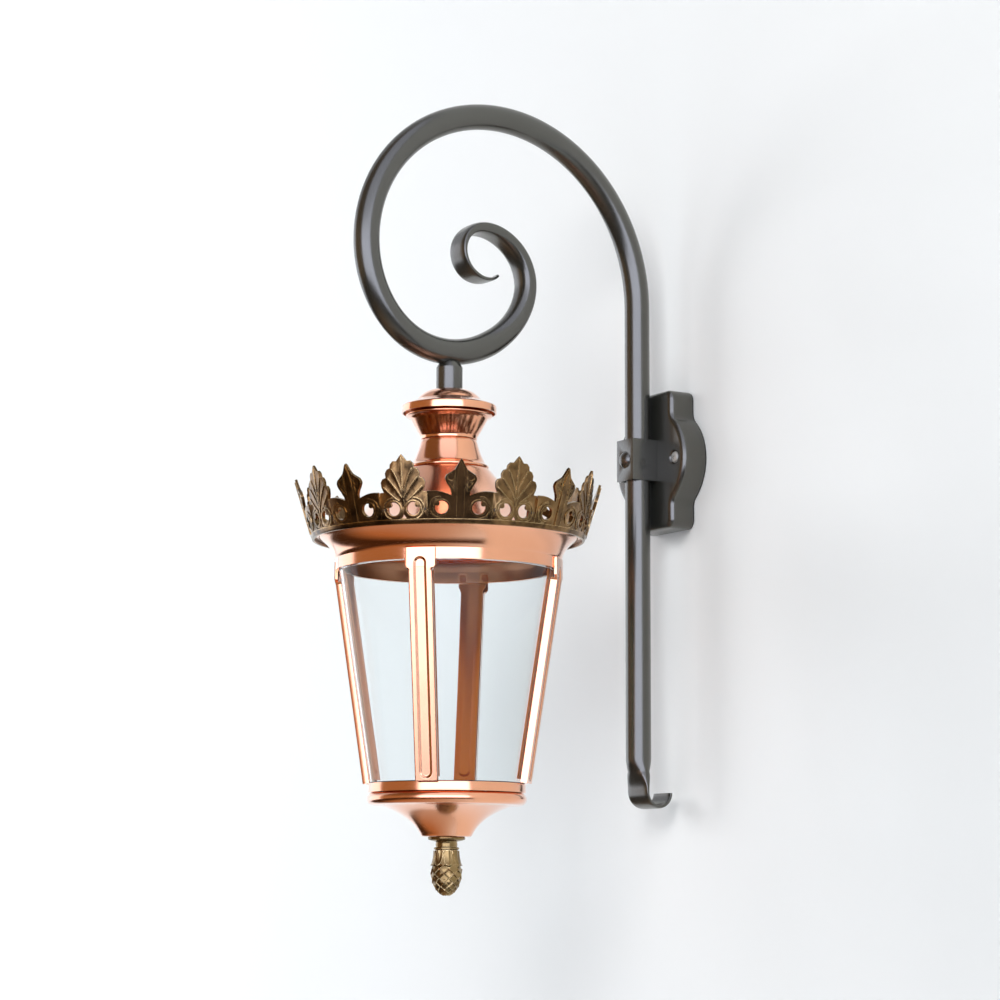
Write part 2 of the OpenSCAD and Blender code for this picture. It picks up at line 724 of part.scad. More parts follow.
module glass_seat() {
    color(rubber) at_lantern()
        ring(glass_r(glass_low) - 0.1, glass_r(glass_low) - glass_t - 0.2, band_top, glass_low);
}

// Uprights: folded channels with a pressed groove and a wider plate on top

head_top = cove_low - 1;
head_r = collar_r + 0.05 + strip_t;
knee_z = head_top - head_h - 1;
knee_drop = head_top - knee_z;
strip_l = (knee_z - band_top + strip_over) / cos(glass_lean);
strip_r = glass_r(knee_z) + strip_gap / cos(glass_lean);

module at_corner(i) { at_lantern() rotate([0, 0, i * 90 - 45]) children(); }

// Drawn in X and Y with the face on +Z: the head plate hangs straight down from its top.
module on_head() { translate([head_r, 0, head_top]) rotate([90, 0, 90]) children(); }

// The channel leans inwards along the glass from the knee under the head plate.
module on_strip() { translate([strip_r, 0, knee_z]) rotate([90 + glass_lean, 0, 90]) children(); }

// A pressed groove with sloping sides, from v0 up to v1, with a round end where one is asked.
module groove(w, d, v0, v1, low_end, top_end) {
    slope = 2;
    translate([0, v0, 0]) rotate([-90, 0, 0]) linear_extrude(v1 - v0)
        polygon([[-w / 2, -1], [-w / 2, 0], [-w / 2 + slope, d], [w / 2 - slope, d], [w / 2, 0], [w / 2, -1]]);
    for (v = concat(low_end ? [v0] : [], top_end ? [v1] : [])) translate([0, v, -d]) {
        cylinder(h = d, r1 = w / 2 - slope, r2 = w / 2, $fn = 48);
        translate([0, 0, d]) cylinder(h = 1, r = w / 2, $fn = 48);
    }
}

groove_top = head_h * 0.5 + groove_w / 2;
groove_low = strip_l - strip_over - groove_w / 2 - 1.9;
step_w = (head_w - strip_w) / 2;
fold_z = strip_gap + 0.35;

module upright_head() {
    on_head() difference() {
        translate([0, 0, -strip_t]) linear_extrude(strip_t)
            polygon(mirrored([[head_w / 2, 0], [head_w / 2, -head_h], [head_w / 2 - 1, -knee_drop - 0.1]]));
        groove(groove_w, groove_d, -knee_drop - 1, -groove_top, false, true);
        for (s = [-1, 1]) translate([s * pin_u, -pin_drop, -2]) cylinder(h = 3, d = pin_d, $fn = 24);
    }
}

module upright_strip() {
    on_strip() difference() {
        union() {
            translate([0, 0, -strip_t]) linear_extrude(strip_t)
                polygon(mirrored([[head_w / 2 - 1, 0.2], [strip_w / 2, 0.2 - step_w * 1.1],
                    [strip_w_low / 2, -strip_l]]));
            translate([0, 0, -fold_z]) linear_extrude(fold_z) both_sides()
                polygon([[strip_w / 2, -step_w * 1.1], [strip_w_low / 2, -strip_l + strip_over + 0.4],
                    [strip_w_low / 2 - strip_t, -strip_l + strip_over + 0.4],
                    [strip_w / 2 - strip_t, -step_w * 1.1]]);
            translate([0, 0, -strip_t])
                groove(groove_w + 1, groove_d, -groove_low - groove_w / 2 - 0.5, -1, false, false);
        }
        groove(groove_w, groove_d, -groove_low, 1, true, false);
    }
}

module upright(i) {
    color(copper) at_corner(i) {
        upright_head();
        upright_strip();
    }
}

module upright_1() { upright(0); }
module upright_2() { upright(1); }
module upright_3() { upright(2); }
module upright_4() { upright(3); }

pin_d = 3;
pin_u = 11;
pin_drop = 5;

module head_places() {
    for (i = [0:3], s = [-1, 1]) rotate([0, 0, i * 90 - 45])
        translate([collar_r, s * pin_u, head_top - pin_drop]) rotate([0, 90, 0]) children();
}

module upright_rivets() {
    color(copper) at_lantern() head_places() translate([0, 0, -3.9]) {
        cylinder(h = 4.8, d = pin_d - 0.1, $fn = 24);
        cylinder(h = 1.4, d = pin_d * 1.9, $fn = 24);
    }
}

// Grooved bars behind the joints of the panes, with a web that reaches to the upright's groove

bar_in = strip_gap + glass_t + 0.85;
bar_head = head_w - 1.6;
web_t = pane_gap * 0.6;

module glazing_bar(i) {
    foot = -(knee_z - glass_low) / cos(glass_lean) + 2;
    top = (rim_z - knee_z) / cos(glass_lean) - 2.4;
    low = foot + groove_w;
    color(copper) at_corner(i) on_strip() {
        translate([0, 0, -bar_in]) difference() {
            union() {
                translate([0, 0, -bar_t]) linear_extrude(bar_t)
                    polygon(mirrored([[bar_head / 2, top], [bar_head / 2, top - 3.4],
                        [strip_w / 2, top - 7], [strip_w_low / 2, foot]]));
                translate([0, 0, -bar_t]) groove(groove_w + 1, groove_d, low, top, true, false);
            }
            groove(groove_w, groove_d, low, top + 1, true, false);
        }
        translate([-web_t / 2, foot, -bar_in - groove_d - 0.5])
            cube([web_t, -8 - foot, bar_in + 0.5 - strip_t]);
    }
}

module glazing_bar_1() { glazing_bar(0); }
module glazing_bar_2() { glazing_bar(1); }
module glazing_bar_3() { glazing_bar(2); }
module glazing_bar_4() { glazing_bar(3); }

// Base band, bowl and finial

band_in = 9;

module base_band() {
    color(copper) at_lantern() difference() {
        ring(band_r, band_r - band_in, band_low, band_top);
        ring(band_r - copper_t, band_r - band_in - 1, band_low + copper_t, band_top - copper_t);
        base_places() translate([0, 0, -1]) cylinder(h = 4, d = base_screw_d, $fn = 24);
    }
}

stud_d = 6;
base_screw_d = 3;

module base_places() {
    for (i = [0:3]) rotate([0, 0, i * 90]) translate([band_r - 5.8, 0, band_low]) children();
}

module base_screws() {
    color(steel) at_lantern() base_places() {
        translate([0, 0, -copper_t]) cylinder(h = 2 * copper_t, d = base_screw_d - 0.1, $fn = 24);
        translate([0, 0, copper_t]) cylinder(h = 1.6, d = 5, $fn = 24);
        translate([0, 0, -copper_t - 1.6]) cylinder(h = 1.6, d = 5, $fn = 24);
    }
}

bowl_outline = concat([[band_r - band_in, band_low], [band_r - 6, band_low]],
    arc_pts([band_r - roll_h / 2 + 0.8, band_low - roll_h / 2], roll_h / 2, 84, -84, 10),
    bend_pts([band_r - 12, roll_low], [bowl_r + 8, roll_low - bowl_h / 3], [bowl_r, bowl_low + 0.8], 10),
    [ [bowl_r - 1, bowl_low], [stud_d / 2 + fit, bowl_low]]);

module base_bowl() {
    color(copper) at_lantern() difference() {
        spun(bowl_outline, -copper_t);
        base_places() translate([0, 0, -3]) cylinder(h = 4, d = base_screw_d, $fn = 24);
    }
}

flange_h = 4.2;
neck_h = 7.5;
bulb_h = 15.5;
leaf_tips = 8;
collar_z = bowl_low - flange_h - neck_h;
pine_top = collar_z - bulb_h;

finial_outline = concat([[0, bowl_low], [flange_r - 1, bowl_low], [flange_r, bowl_low - 1.2]],
    [[flange_r, bowl_low - 2.6], [finial_neck_r + 1.4, bowl_low - flange_h], [finial_neck_r - 0.6, bowl_low - 4.6]],
    bend_pts([finial_neck_r - 0.5, bowl_low - 4.8], [finial_neck_r + 0.6, collar_z + 4.6],
        [finial_neck_r - 0.6, collar_z + 1.9], 4),
    [[finial_neck_r + 1.3, collar_z + 1.5], [finial_neck_r + 1.3, collar_z]],
    bend_pts([finial_neck_r, collar_z - 1], [collar_leaf_r - 2.6, collar_z - bulb_h * 0.3],
        [collar_leaf_r, pine_top], 6), [[0, pine_top]]);

// Radius of the cone at a share of its length, from its top to its point.
function pine_radius(t) = pine_r * pow(max(0, 1 - pow(t, 2.4)), 0.62) + 1.2 * t;

// Every scale is a low pyramid on a diamond, so points and corners alternate on the grid.
module pine() {
    rows = 2 * pine_rows;
    cols = 2 * pine_n;
    rings = [for (j = [0:rows]) let (t = j / rows) [for (i = [0:cols - 1])
        let (a = 180 / pine_n * i, point = (i + j) % 2 == 1 && j > 0 && j < rows,
            r = pine_radius(t) + (point ? scale_h * (1 - t * t * 0.7) : 0))
        [r * cos(a), r * sin(a), pine_top + 1.2 - (pine_h + 1.2) * t - (point ? scale_h * 0.6 : 0)]]];
    sides = [for (j = [0:rows - 1], i = [0:cols - 1])
        let (a = j * cols + i, b = j * cols + (i + 1) % cols)
        each ((i + j) % 2 == 0 ? [[a, b, b + cols], [a, b + cols, a + cols]]
            : [[a, b, a + cols], [b, b + cols, a + cols]])];
    polyhedron(points = [for (r = rings) each r],
        faces = concat([[for (i = [cols - 1:-1:0]) i]], sides, [[for (i = [0:cols - 1]) rows * cols + i]]),
        convexity = 6);
}

module finial() {
    color(bronze) at_lantern() difference() {
        union() {
            difference() {
                rotate_extrude($fn = round_fn) polygon(finial_outline);
                for (i = [0:leaf_tips - 1]) rotate([0, 0, i * 360 / leaf_tips])
                    translate([collar_leaf_r + 1.6, 0, pine_top - 1]) rotate([0, 0, 45])
                        cylinder(h = bulb_h * 0.55, r1 = 4.4, r2 = 0.6, $fn = 16);
            }
            pine();
        }
        translate([0, 0, bowl_low - flange_h - neck_h]) cylinder(h = 20, d = stud_d, $fn = 32);
    }
}

module finial_stud() {
    color(steel) at_lantern() translate([0, 0, collar_z])
        cylinder(h = bowl_low - collar_z + 12, d = stud_d - 0.1, $fn = 32);
}

module finial_nut() {
    color(steel) at_lantern() difference() {
        translate([0, 0, bowl_low + copper_t]) cylinder(h = 5, d = 11.5, $fn = 6);
        translate([0, 0, bowl_low]) cylinder(h = 12, d = stud_d, $fn = 32);
    }
}

// Hanger: a hollow threaded nipple that clamps cap and neck to the stem

disc_t = 3;
disc_top = waist_z - copper_t;
nut_h = 7;
nipple_low = disc_top - disc_t - nut_h - 3;

module hanger_nipple() {
    color(steel) at_lantern()
        ring(nipple_d / 2 - 0.05, nipple_bore / 2, nipple_low, stem_bottom + nipple_in);
}

module hanger_disc() {
    color(steel) at_lantern() ring(waist_r - copper_t - 1.6, nipple_d / 2 + fit, disc_top - disc_t, disc_top);
}

module hanger_nut() {
    color(steel) at_lantern() difference() {
        translate([0, 0, disc_top - disc_t - nut_h]) cylinder(h = nut_h, d = nipple_d * 1.75, $fn = 6);
        translate([0, 0, disc_top - disc_t - nut_h - 1]) cylinder(h = nut_h + 2, d = nipple_d, $fn = 48);
    }
}

// Lamp plate and light source, out of sight above the collar

gear_n = 4;
driver_size = [78, 34, 22];
driver_y = 32;

module gear_places() {
    for (i = [0:gear_n - 1]) rotate([0, 0, i * 360 / gear_n]) translate([gear_screw_r, 0, 0]) children();
}

module gear_plate() {
    color(steel) at_lantern() difference() {
        translate([0, 0, roof_foot]) cylinder(h = gear_t, r = gear_r, $fn = round_fn);
        gear_places() translate([0, 0, roof_foot - 1]) cylinder(h = gear_t + 2, d = gear_screw_d, $fn = 24);
        translate([0, 0, roof_foot - 1]) cylinder(h = gear_t + 2, r = 6, $fn = 32);
    }
}

module gear_screws() {
    color(steel) at_lantern() gear_places() {
        translate([0, 0, roof_foot - 4]) cylinder(h = 4 + gear_t, d = gear_screw_d - 0.1, $fn = 24);
        translate([0, 0, roof_foot + gear_t]) cylinder(h = 2, d = 3.8, $fn = 24);
    }
}

module led_board() {
    color("ivory") at_lantern() translate([0, 0, roof_foot - 1.6]) cylinder(h = 1.6, r = board_r, $fn = round_fn);
}

module led_lens() {
    top = roof_foot;
    color([0.9, 0.9, 0.9, 0.6]) at_lantern() rotate_extrude($fn = round_fn)
        polygon([[lens_r, top], [lens_r, top - 3], [lens_r - 5, top - lens_h + 2], [lens_r - 14, top - lens_h],
            [0, top - lens_h], [0, top - lens_h + 2], [lens_r - 14, top - lens_h + 2], [lens_r - 5.6, top - 4],
            [board_r + 1, top - 3], [board_r + 1, top]]);
}

module led_driver() {
    color("ivory") at_lantern() translate([-driver_size[0] / 2, -driver_y - driver_size[1] / 2, roof_foot + gear_t])
        cube(driver_size);
}

// Wall box

fillet_z = sqrt(pow(bulge_r + cove_r, 2) - pow(cover_shoulder + cove_r - cover_bulge + bulge_r, 2));
fillet_a = atan2(fillet_z, cover_shoulder + cove_r - cover_bulge + bulge_r);

// A quarter of the cover's outline at a distance inside its edge, from the top to the side.
function quarter(d) = concat(
    arc_pts([cover_shoulder - cover_corner, cover_half_h - cover_corner], cover_corner - d, 90, 0, 4),
    arc_pts([cover_shoulder + cove_r, fillet_z], cove_r + d, 180, 180 + fillet_a, 4),
    arc_pts([cover_bulge - bulge_r, 0], bulge_r - d, fillet_a * 0.85, 0, 6));

function cover_pts(d) = let (q = quarter(d), n = len(q) - 1) concat(q,
    [for (i = [n - 1:-1:0]) [q[i][0], -q[i][1]]],
    [for (i = [0:n]) [-q[i][0], -q[i][1]]],
    [for (i = [n - 1:-1:0]) [-q[i][0], q[i][1]]]);

// Outlines drawn in X and Z become solids that reach from Y = -back to Y = -front.
module from_wall(back, front) {
    translate([0, -back, 0]) rotate([90, 0, 0]) linear_extrude(front - back) children();
}

module cover_skin() {
    edge_n = 5;
    levels = concat([[cover_wall, cover_depth - cover_wall], [cover_wall, gasket_t], [0, gasket_t]], [for (k = [0:edge_n]) let (a = 90 * k / edge_n)
        [cover_edge * (1 - cos(a)), cover_depth - cover_edge + cover_edge * sin(a)]]);
    skin([for (l = levels) [for (p = cover_pts(l[0])) [p[0], -l[1], p[1]]]]);
}

post_r = 6;
boss_r = 8;
screw_l = 20;
sunk = 2;

module cover_hole(x, z, d) {
    translate([x, -cover_depth - 1, z]) rotate([-90, 0, 0]) cylinder(h = cover_depth, d = d, $fn = 32);
}

module wall_cover() {
    color(iron) difference() {
        cover_skin();
        cover_hole(0, 0, bolt_d + 2 * fit);
        cover_hole(0, grommet_z, grommet_d);
        for (s = [-1, 1]) {
            cover_hole(s * cover_screw_x, 0, cover_screw_d + 2 * fit);
            translate([s * cover_screw_x, -cover_depth - 1, 0]) rotate([-90, 0, 0])
                cylinder(h = 1 + sunk, d = cover_head_d + 2, $fn = 48);
        }
    }
}

module cover_gasket() {
    color(rubber) from_wall(0, gasket_t) difference() {
        polygon(cover_pts(0.4));
        polygon(cover_pts(cover_wall - 0.2));
    }
}

plate_in = cover_wall + 2;

module wall_plate() {
    color(steel) difference() {
        union() {
            from_wall(0, plate_t) polygon(cover_pts(plate_in));
            from_wall(plate_t, cover_depth - cover_wall) circle(r = boss_r, $fn = 48);
            for (s = [-1, 1]) from_wall(plate_t, cover_depth - cover_wall)
                translate([s * cover_screw_x, 0]) circle(r = post_r, $fn = 48);
        }
        for (s = [-1, 1]) {
            translate([0, 1, s * wall_hole_z]) rotate([90, 0, 0])
                cylinder(h = plate_t + 2, d = wall_hole_d, $fn = 32);
            translate([s * cover_screw_x, -cover_depth, 0]) rotate([-90, 0, 0])
                cylinder(h = cover_depth - plate_t, d = cover_screw_d, $fn = 32);
        }
        translate([0, 1, grommet_z - 8]) rotate([90, 0, 0])
            cylinder(h = plate_t + 2, d = cable_hole_d, $fn = 32);
        translate([0, -cover_depth, 0]) rotate([-90, 0, 0])
            cylinder(h = cover_depth - plate_t, d = bolt_d, $fn = 32);
    }
}

clip_half = tube_r + clip_gap + clip_t - 1.5;
clip_front = tube_off + tube_r + clip_gap + clip_t;

module tube_clip() {
    color(iron) translate([0, 0, -clip_h / 2]) difference() {
        linear_extrude(clip_h) difference() {
            translate([-clip_half, -clip_front]) square([2 * clip_half, clip_front - cover_depth]);
            translate([-clip_half + clip_t, -clip_front + clip_t])
                square([2 * (clip_half - clip_t), clip_front]);
            translate([0, -tube_off]) circle(r = tube_r + clip_gap, $fn = 96);
        }
        translate([0, -clip_front - 1, clip_h / 2]) rotate([-90, 0, 0])
            cylinder(h = 2 * clip_t + 2, d = bolt_d + 2 * fit, $fn = 32);
    }
}

module clip_bolt() {
    head_ball = (bolt_head_d * bolt_head_d / 4 + bolt_head_h * bolt_head_h) / (2 * bolt_head_h);
    color(iron) translate([0, -clip_front, 0]) rotate([90, 0, 0]) {
        rotate_extrude($fn = 48) polygon(concat([[0, 0], [bolt_head_d / 2, 0]],
            arc_pts([0, bolt_head_h - head_ball], head_ball,
                asin((head_ball - bolt_head_h) / head_ball) + 3, 90, 8)));
        translate([0, 0, -clip_front + plate_t + 2])
            cylinder(h = clip_front - plate_t - 2, d = bolt_d - 0.1, $fn = 48);
    }
}

head_z = cover_depth - sunk;

module cover_screws() {
    head_h = 3;
    slot_w = 1.1;
    color(steel) for (s = [-1, 1]) translate([s * cover_screw_x, -head_z, 0]) rotate([90, 0, 0]) difference() {
        union() {
            rotate_extrude($fn = 48) polygon(concat([[0, 0], [cover_head_d / 2, 0], [cover_head_d / 2, 0.8]],
                bend_pts([cover_head_d / 2 - 0.3, 1.4], [cover_head_d * 0.34, head_h], [0, head_h], 5)));
            translate([0, 0, -screw_l]) cylinder(h = screw_l, d = cover_screw_d - 0.1, $fn = 32);
        }
        for (a = [20, 110]) rotate([0, 0, a]) translate([-cover_head_d * 0.26, -slot_w / 2, 1])
            cube([cover_head_d * 0.52, slot_w, head_h]);
    }
}

block = [30, 12, 14];

module terminal_block() {
    color("ivory") translate([-block[0] / 2, -plate_t - block[1], -wall_hole_z + 12]) difference() {
        cube(block);
        for (i = [0:2]) translate([5 + i * 10, -1, block[2] / 2]) rotate([-90, 0, 0])
            cylinder(h = 8, d = 4, $fn = 24);
    }
}

scroll_tube();
drop_stem();
hanger_nipple();
hanger_disc();
hanger_nut();
cap();
upper_neck();
lower_neck();
roof();
upper_band();
crown_band();
crown_leaf_1();
crown_leaf_2();
crown_leaf_3();
crown_leaf_4();
crown_leaf_5();
crown_leaf_6();
crown_leaf_7();
crown_leaf_8();
crown_spear_1();
crown_spear_2();
crown_spear_3();
crown_spear_4();
crown_spear_5();
crown_spear_6();
crown_spear_7();
crown_spear_8();
crown_rivets();
upright_1();
upright_2();
upright_3();
upright_4();
upright_rivets();
glass_pane_1();
glass_pane_2();
glass_pane_3();
glass_pane_4();
glass_seat();
glazing_bar_1();
glazing_bar_2();
glazing_bar_3();
glazing_bar_4();
base_band();
base_bowl();
base_screws();
finial();
finial_stud();
finial_nut();
gear_plate();
gear_screws();
led_board();
led_lens();
led_driver();
wall_plate();
wall_cover();
cover_gasket();
tube_clip();
clip_bolt();
cover_screws();
terminal_block();
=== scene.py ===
"""Looks of a round wall lantern that hangs from a forged scroll bracket.

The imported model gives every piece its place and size, in metres, with the wall at Y = 0 and the
light standing out towards -Y. This script dresses those pieces, makes the ones whose true surface
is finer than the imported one, and sets up the studio round them.
"""

import logging
import math
from dataclasses import dataclass, field
from enum import Enum
from typing import Callable, Iterable, Sequence

import bmesh
import bpy
import numpy as np
from mathutils import Matrix, Vector


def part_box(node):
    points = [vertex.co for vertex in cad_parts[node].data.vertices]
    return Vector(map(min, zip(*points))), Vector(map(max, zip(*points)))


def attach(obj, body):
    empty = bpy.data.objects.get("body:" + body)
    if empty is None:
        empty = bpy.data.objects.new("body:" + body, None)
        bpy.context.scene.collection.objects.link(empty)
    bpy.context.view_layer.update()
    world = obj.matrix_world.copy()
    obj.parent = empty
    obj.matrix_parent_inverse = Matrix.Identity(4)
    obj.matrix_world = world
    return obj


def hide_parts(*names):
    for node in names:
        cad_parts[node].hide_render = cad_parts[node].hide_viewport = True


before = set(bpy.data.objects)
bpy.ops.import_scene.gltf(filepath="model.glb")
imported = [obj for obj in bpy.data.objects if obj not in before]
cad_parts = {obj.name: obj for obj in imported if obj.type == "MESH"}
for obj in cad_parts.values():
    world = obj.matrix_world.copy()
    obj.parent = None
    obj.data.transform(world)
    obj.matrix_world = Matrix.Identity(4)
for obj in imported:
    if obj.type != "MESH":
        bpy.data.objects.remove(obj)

log = logging.getLogger("lantern")
MM = 0.001
BODY = "root"
WELD = 0.002 * MM
FLAT_ANGLE = 0.3
BEVEL_ANGLE = 35.0
Point = tuple[float, float]
Place = tuple[float, float, float]
Colour = Place
Socket = bpy.types.NodeSocket
Tree = bpy.types.NodeTree
Node = bpy.types.Node
Material = bpy.types.Material
Mesh = bpy.types.Mesh
Thing = bpy.types.Object


def linear(red: int, green: int, blue: int) -> Colour:
    """Turns a screen colour of 0 to 255 into the linear values that shaders use.

    Args:
        red: Red, from 0 to 255.
        green: Green, from 0 to 255.
        blue: Blue, from 0 to 255.

    Returns:
        The three linear values.
    """
    parts = [v / 255 for v in (red, green, blue)]
    return tuple(v / 12.92 if v <= 0.04045 else ((v + 0.055) / 1.055) ** 2.4 for v in parts)


class Grain(Enum):
    """The way a metal surface was worked."""

    TURNED = "turned"
    DRAWN = "drawn"
    CAST = "cast"


class Wiring:
    """A node tree with short calls that make and join its nodes."""

    def __init__(self, tree: Tree) -> None:
        """Keeps the tree.

        Args:
            tree: The shader or geometry tree to fill.
        """
        self.tree = tree

    def add(self, kind: str, inputs: dict | None = None, **settings) -> Node:
        """Makes a node, sets its options and joins or fills its inputs.

        Args:
            kind: The node's type name.
            inputs: Input name or index to a socket or a plain value.
            **settings: The node's own options.

        Returns:
            The new node.
        """
        node = self.tree.nodes.new(kind)
        for name, value in settings.items():
            setattr(node, name, value)
        for name, value in (inputs or {}).items():
            self.put(node, name, value)
        return node

    def put(self, node: Node, name: str | int, value) -> None:
        """Joins a socket to an input or writes a value in it.

        Args:
            node: The node that has the input.
            name: The input's name or index.
            value: A socket, a node for its first output, or a plain value.
        """
        socket = node.inputs[name]
        if isinstance(value, Node):
            value = value.outputs[0]
        elif isinstance(value, tuple) and len(value) == 3:
            value = (*value, 1.0)
        if isinstance(value, Socket):
            self.tree.links.new(value, socket)
        else:
            socket.default_value = value

    def math(self, operation: str, *values) -> Socket:
        """Makes a Math node.

        Args:
            operation: Its operation.
            *values: Sockets or numbers for its inputs.

        Returns:
            Its output.
        """
        return self.add("ShaderNodeMath", dict(enumerate(values)), operation=operation).outputs[0]

    def ramp(self, source, stops: Sequence[tuple[float, float]]) -> Socket:
        """Maps a value through a grey ramp.

        Args:
            source: The socket to map.
            stops: Positions and grey levels.

        Returns:
            The ramp's colour output.
        """
        return self.colour_ramp(source, [(at, (level, level, level)) for at, level in stops])

    def colour_ramp(self, source, stops: Sequence[tuple[float, Colour]]) -> Socket:
        """Maps a value through a colour ramp.

        Args:
            source: The socket to map.
            stops: Positions and linear colours.

        Returns:
            The ramp's colour output.
        """
        node = self.add("ShaderNodeValToRGB", {0: source})
        elements = node.color_ramp.elements
        while len(elements) < len(stops):
            elements.new(0.5)
        for element, (at, colour) in zip(elements, sorted(stops, key=lambda stop: stop[0])):
            element.position = at
            element.color = (*colour, 1.0)
        return node.outputs["Color"]

    def mix(self, factor, first, second) -> Socket:
        """Mixes two colours.

        Args:
            factor: A socket or a number.
            first: The first colour, a socket or three values.
            second: The second colour.

        Returns:
            The mixed colour.
        """
        return self.add("ShaderNodeMix", {0: factor, 6: first, 7: second},
                        data_type="RGBA").outputs[2]


def new_group(name: str, inputs: Sequence[tuple[str, float]],
              outputs: Sequence[str]) -> tuple[Tree, Wiring]:
    """Makes a shader node group with named number sockets.

    Args:
        name: The group's name.
        inputs: Name and default of each input.
        outputs: Name of each output.

    Returns:
        The group and its wiring.
    """
    tree = bpy.data.node_groups.new(name, "ShaderNodeTree")
    for label, default in inputs:
        socket = tree.interface.new_socket(label, in_out="INPUT", socket_type="NodeSocketFloat")
        socket.default_value = default
    for label in outputs:
        tree.interface.new_socket(label, in_out="OUTPUT", socket_type="NodeSocketFloat")
    return tree, Wiring(tree)


def new_material(name: str) -> tuple[Material, Wiring]:
    """Makes a material with an empty tree.

    Args:
        name: The material's name.

    Returns:
        The material and its wiring.
    """
    material = bpy.data.materials.new(name)
    material.use_nodes = True
    material.node_tree.nodes.clear()
    return material, Wiring(material.node_tree)


class Effects:
    """The shader groups that several finishes share, each built once."""

    def __init__(self) -> None:
        """Builds the groups."""
        self.turned = self._turned_grain()
        self.drawn = self._drawn_grain()
        self.mottle = self._mottle()
        # The edge mask serves a painted edge highlight, broken up like rubbed metal.
        self.lit_rubbed_edges = self._edge_highlight_and_rubbing()

    @staticmethod
    def _streaks(w: Wiring, detail: float, parts: Sequence[Socket]) -> Tree:
        """Ends a grain group with noise on stretched coordinates.

        Args:
            w: The group's wiring.
            detail: The noise's detail.
            parts: The three coordinates.

        Returns:
            The group.
        """
        spot = w.add("ShaderNodeCombineXYZ", dict(enumerate(parts)))
        noise = w.add("ShaderNodeTexNoise", {"Vector": spot, "Scale": 1.0, "Detail": detail})
        w.add("NodeGroupOutput", {0: noise})
        return w.tree

    @staticmethod
    def _turned_grain() -> Tree:
        """Fine lines that run round a turned shell.

        Returns:
            The group.
        """
        _, w = new_group("Turned grain", [("Axis Y", -0.2594), ("Lines", 900.0),
                                          ("Streak", 6.0)], ["Value"])
        source = w.add("NodeGroupInput")
        place = w.add("ShaderNodeTexCoord").outputs["Object"]
        xyz = w.add("ShaderNodeSeparateXYZ", {0: place})
        across = w.math("SUBTRACT", xyz.outputs[1], source.outputs["Axis Y"])
        radius = w.math("SQRT", w.math("ADD", w.math("MULTIPLY", xyz.outputs[0], xyz.outputs[0]),
                                       w.math("MULTIPLY", across, across)))
        angle = w.math("ARCTAN2", across, xyz.outputs[0])
        return Effects._streaks(w, 3.0, (
            w.math("MULTIPLY", angle, source.outputs["Streak"]),
            w.math("MULTIPLY", radius, source.outputs["Lines"]),
            w.math("MULTIPLY", xyz.outputs[2], source.outputs["Lines"])))

    @staticmethod
    def _drawn_grain() -> Tree:
        """Fine streaks that run up a piece, as on brushed sheet.

        Returns:
            The group.
        """
        _, w = new_group("Drawn grain", [("Across", 900.0), ("Along", 12.0)], ["Value"])
        source = w.add("NodeGroupInput")
        place = w.add("ShaderNodeTexCoord").outputs["Object"]
        xyz = w.add("ShaderNodeSeparateXYZ", {0: place})
        return Effects._streaks(w, 2.0, [
            w.math("MULTIPLY", xyz.outputs[axis], source.outputs[label])
            for axis, label in enumerate(("Across", "Across", "Along"))])

    @staticmethod
    def _mottle() -> Tree:
        """Cloudy patches, for tarnish and for the slight unevenness of paint.

        Returns:
            The group.
        """
        tree, w = new_group("Mottle", [("Scale", 60.0), ("Contrast", 0.6)], ["Mask", "Fine"])
        source = w.add("NodeGroupInput")
        place = w.add("ShaderNodeTexCoord").outputs["Object"]
        coarse = w.add("ShaderNodeTexNoise", {"Vector": place, "Scale": source.outputs["Scale"],
                                              "Detail": 5.0, "Roughness": 0.62})
        fine = w.add("ShaderNodeTexNoise", {
            "Vector": place, "Scale": w.math("MULTIPLY", source.outputs["Scale"], 14.0),
            "Detail": 3.0})
        spread = w.math("MULTIPLY", w.math("SUBTRACT", coarse.outputs[0], 0.5),
                        w.math("MULTIPLY", source.outputs["Contrast"], 4.0))
        mask = w.add("ShaderNodeClamp", {0: w.math("ADD", spread, 0.5)})
        w.add("NodeGroupOutput", {0: mask, 1: fine})
        return tree

    @staticmethod
    def _edge_highlight_and_rubbing() -> Tree:
        """A mask of the edges, where the rounded normal leaves the true one; finishes use it for a
        painted edge highlight.

        Returns:
            The group.
        """
        tree, w = new_group("Painted edge highlight and rubbing", [("Radius", 0.0006), ("Strength", 8.0)], ["Mask"])
        source = w.add("NodeGroupInput")
        round_edge = w.add("ShaderNodeBevel", {"Radius": source.outputs["Radius"]}, samples=6)
        true_face = w.add("ShaderNodeNewGeometry")
        dot = w.add("ShaderNodeVectorMath", {0: round_edge,
                                             1: true_face.outputs["Normal"]},
                    operation="DOT_PRODUCT")
        mask = w.math("MULTIPLY", w.math("SUBTRACT", 1.0, dot.outputs["Value"]),
                      source.outputs["Strength"])
        w.add("NodeGroupOutput", {0: w.add("ShaderNodeClamp", {0: mask})})
        return tree


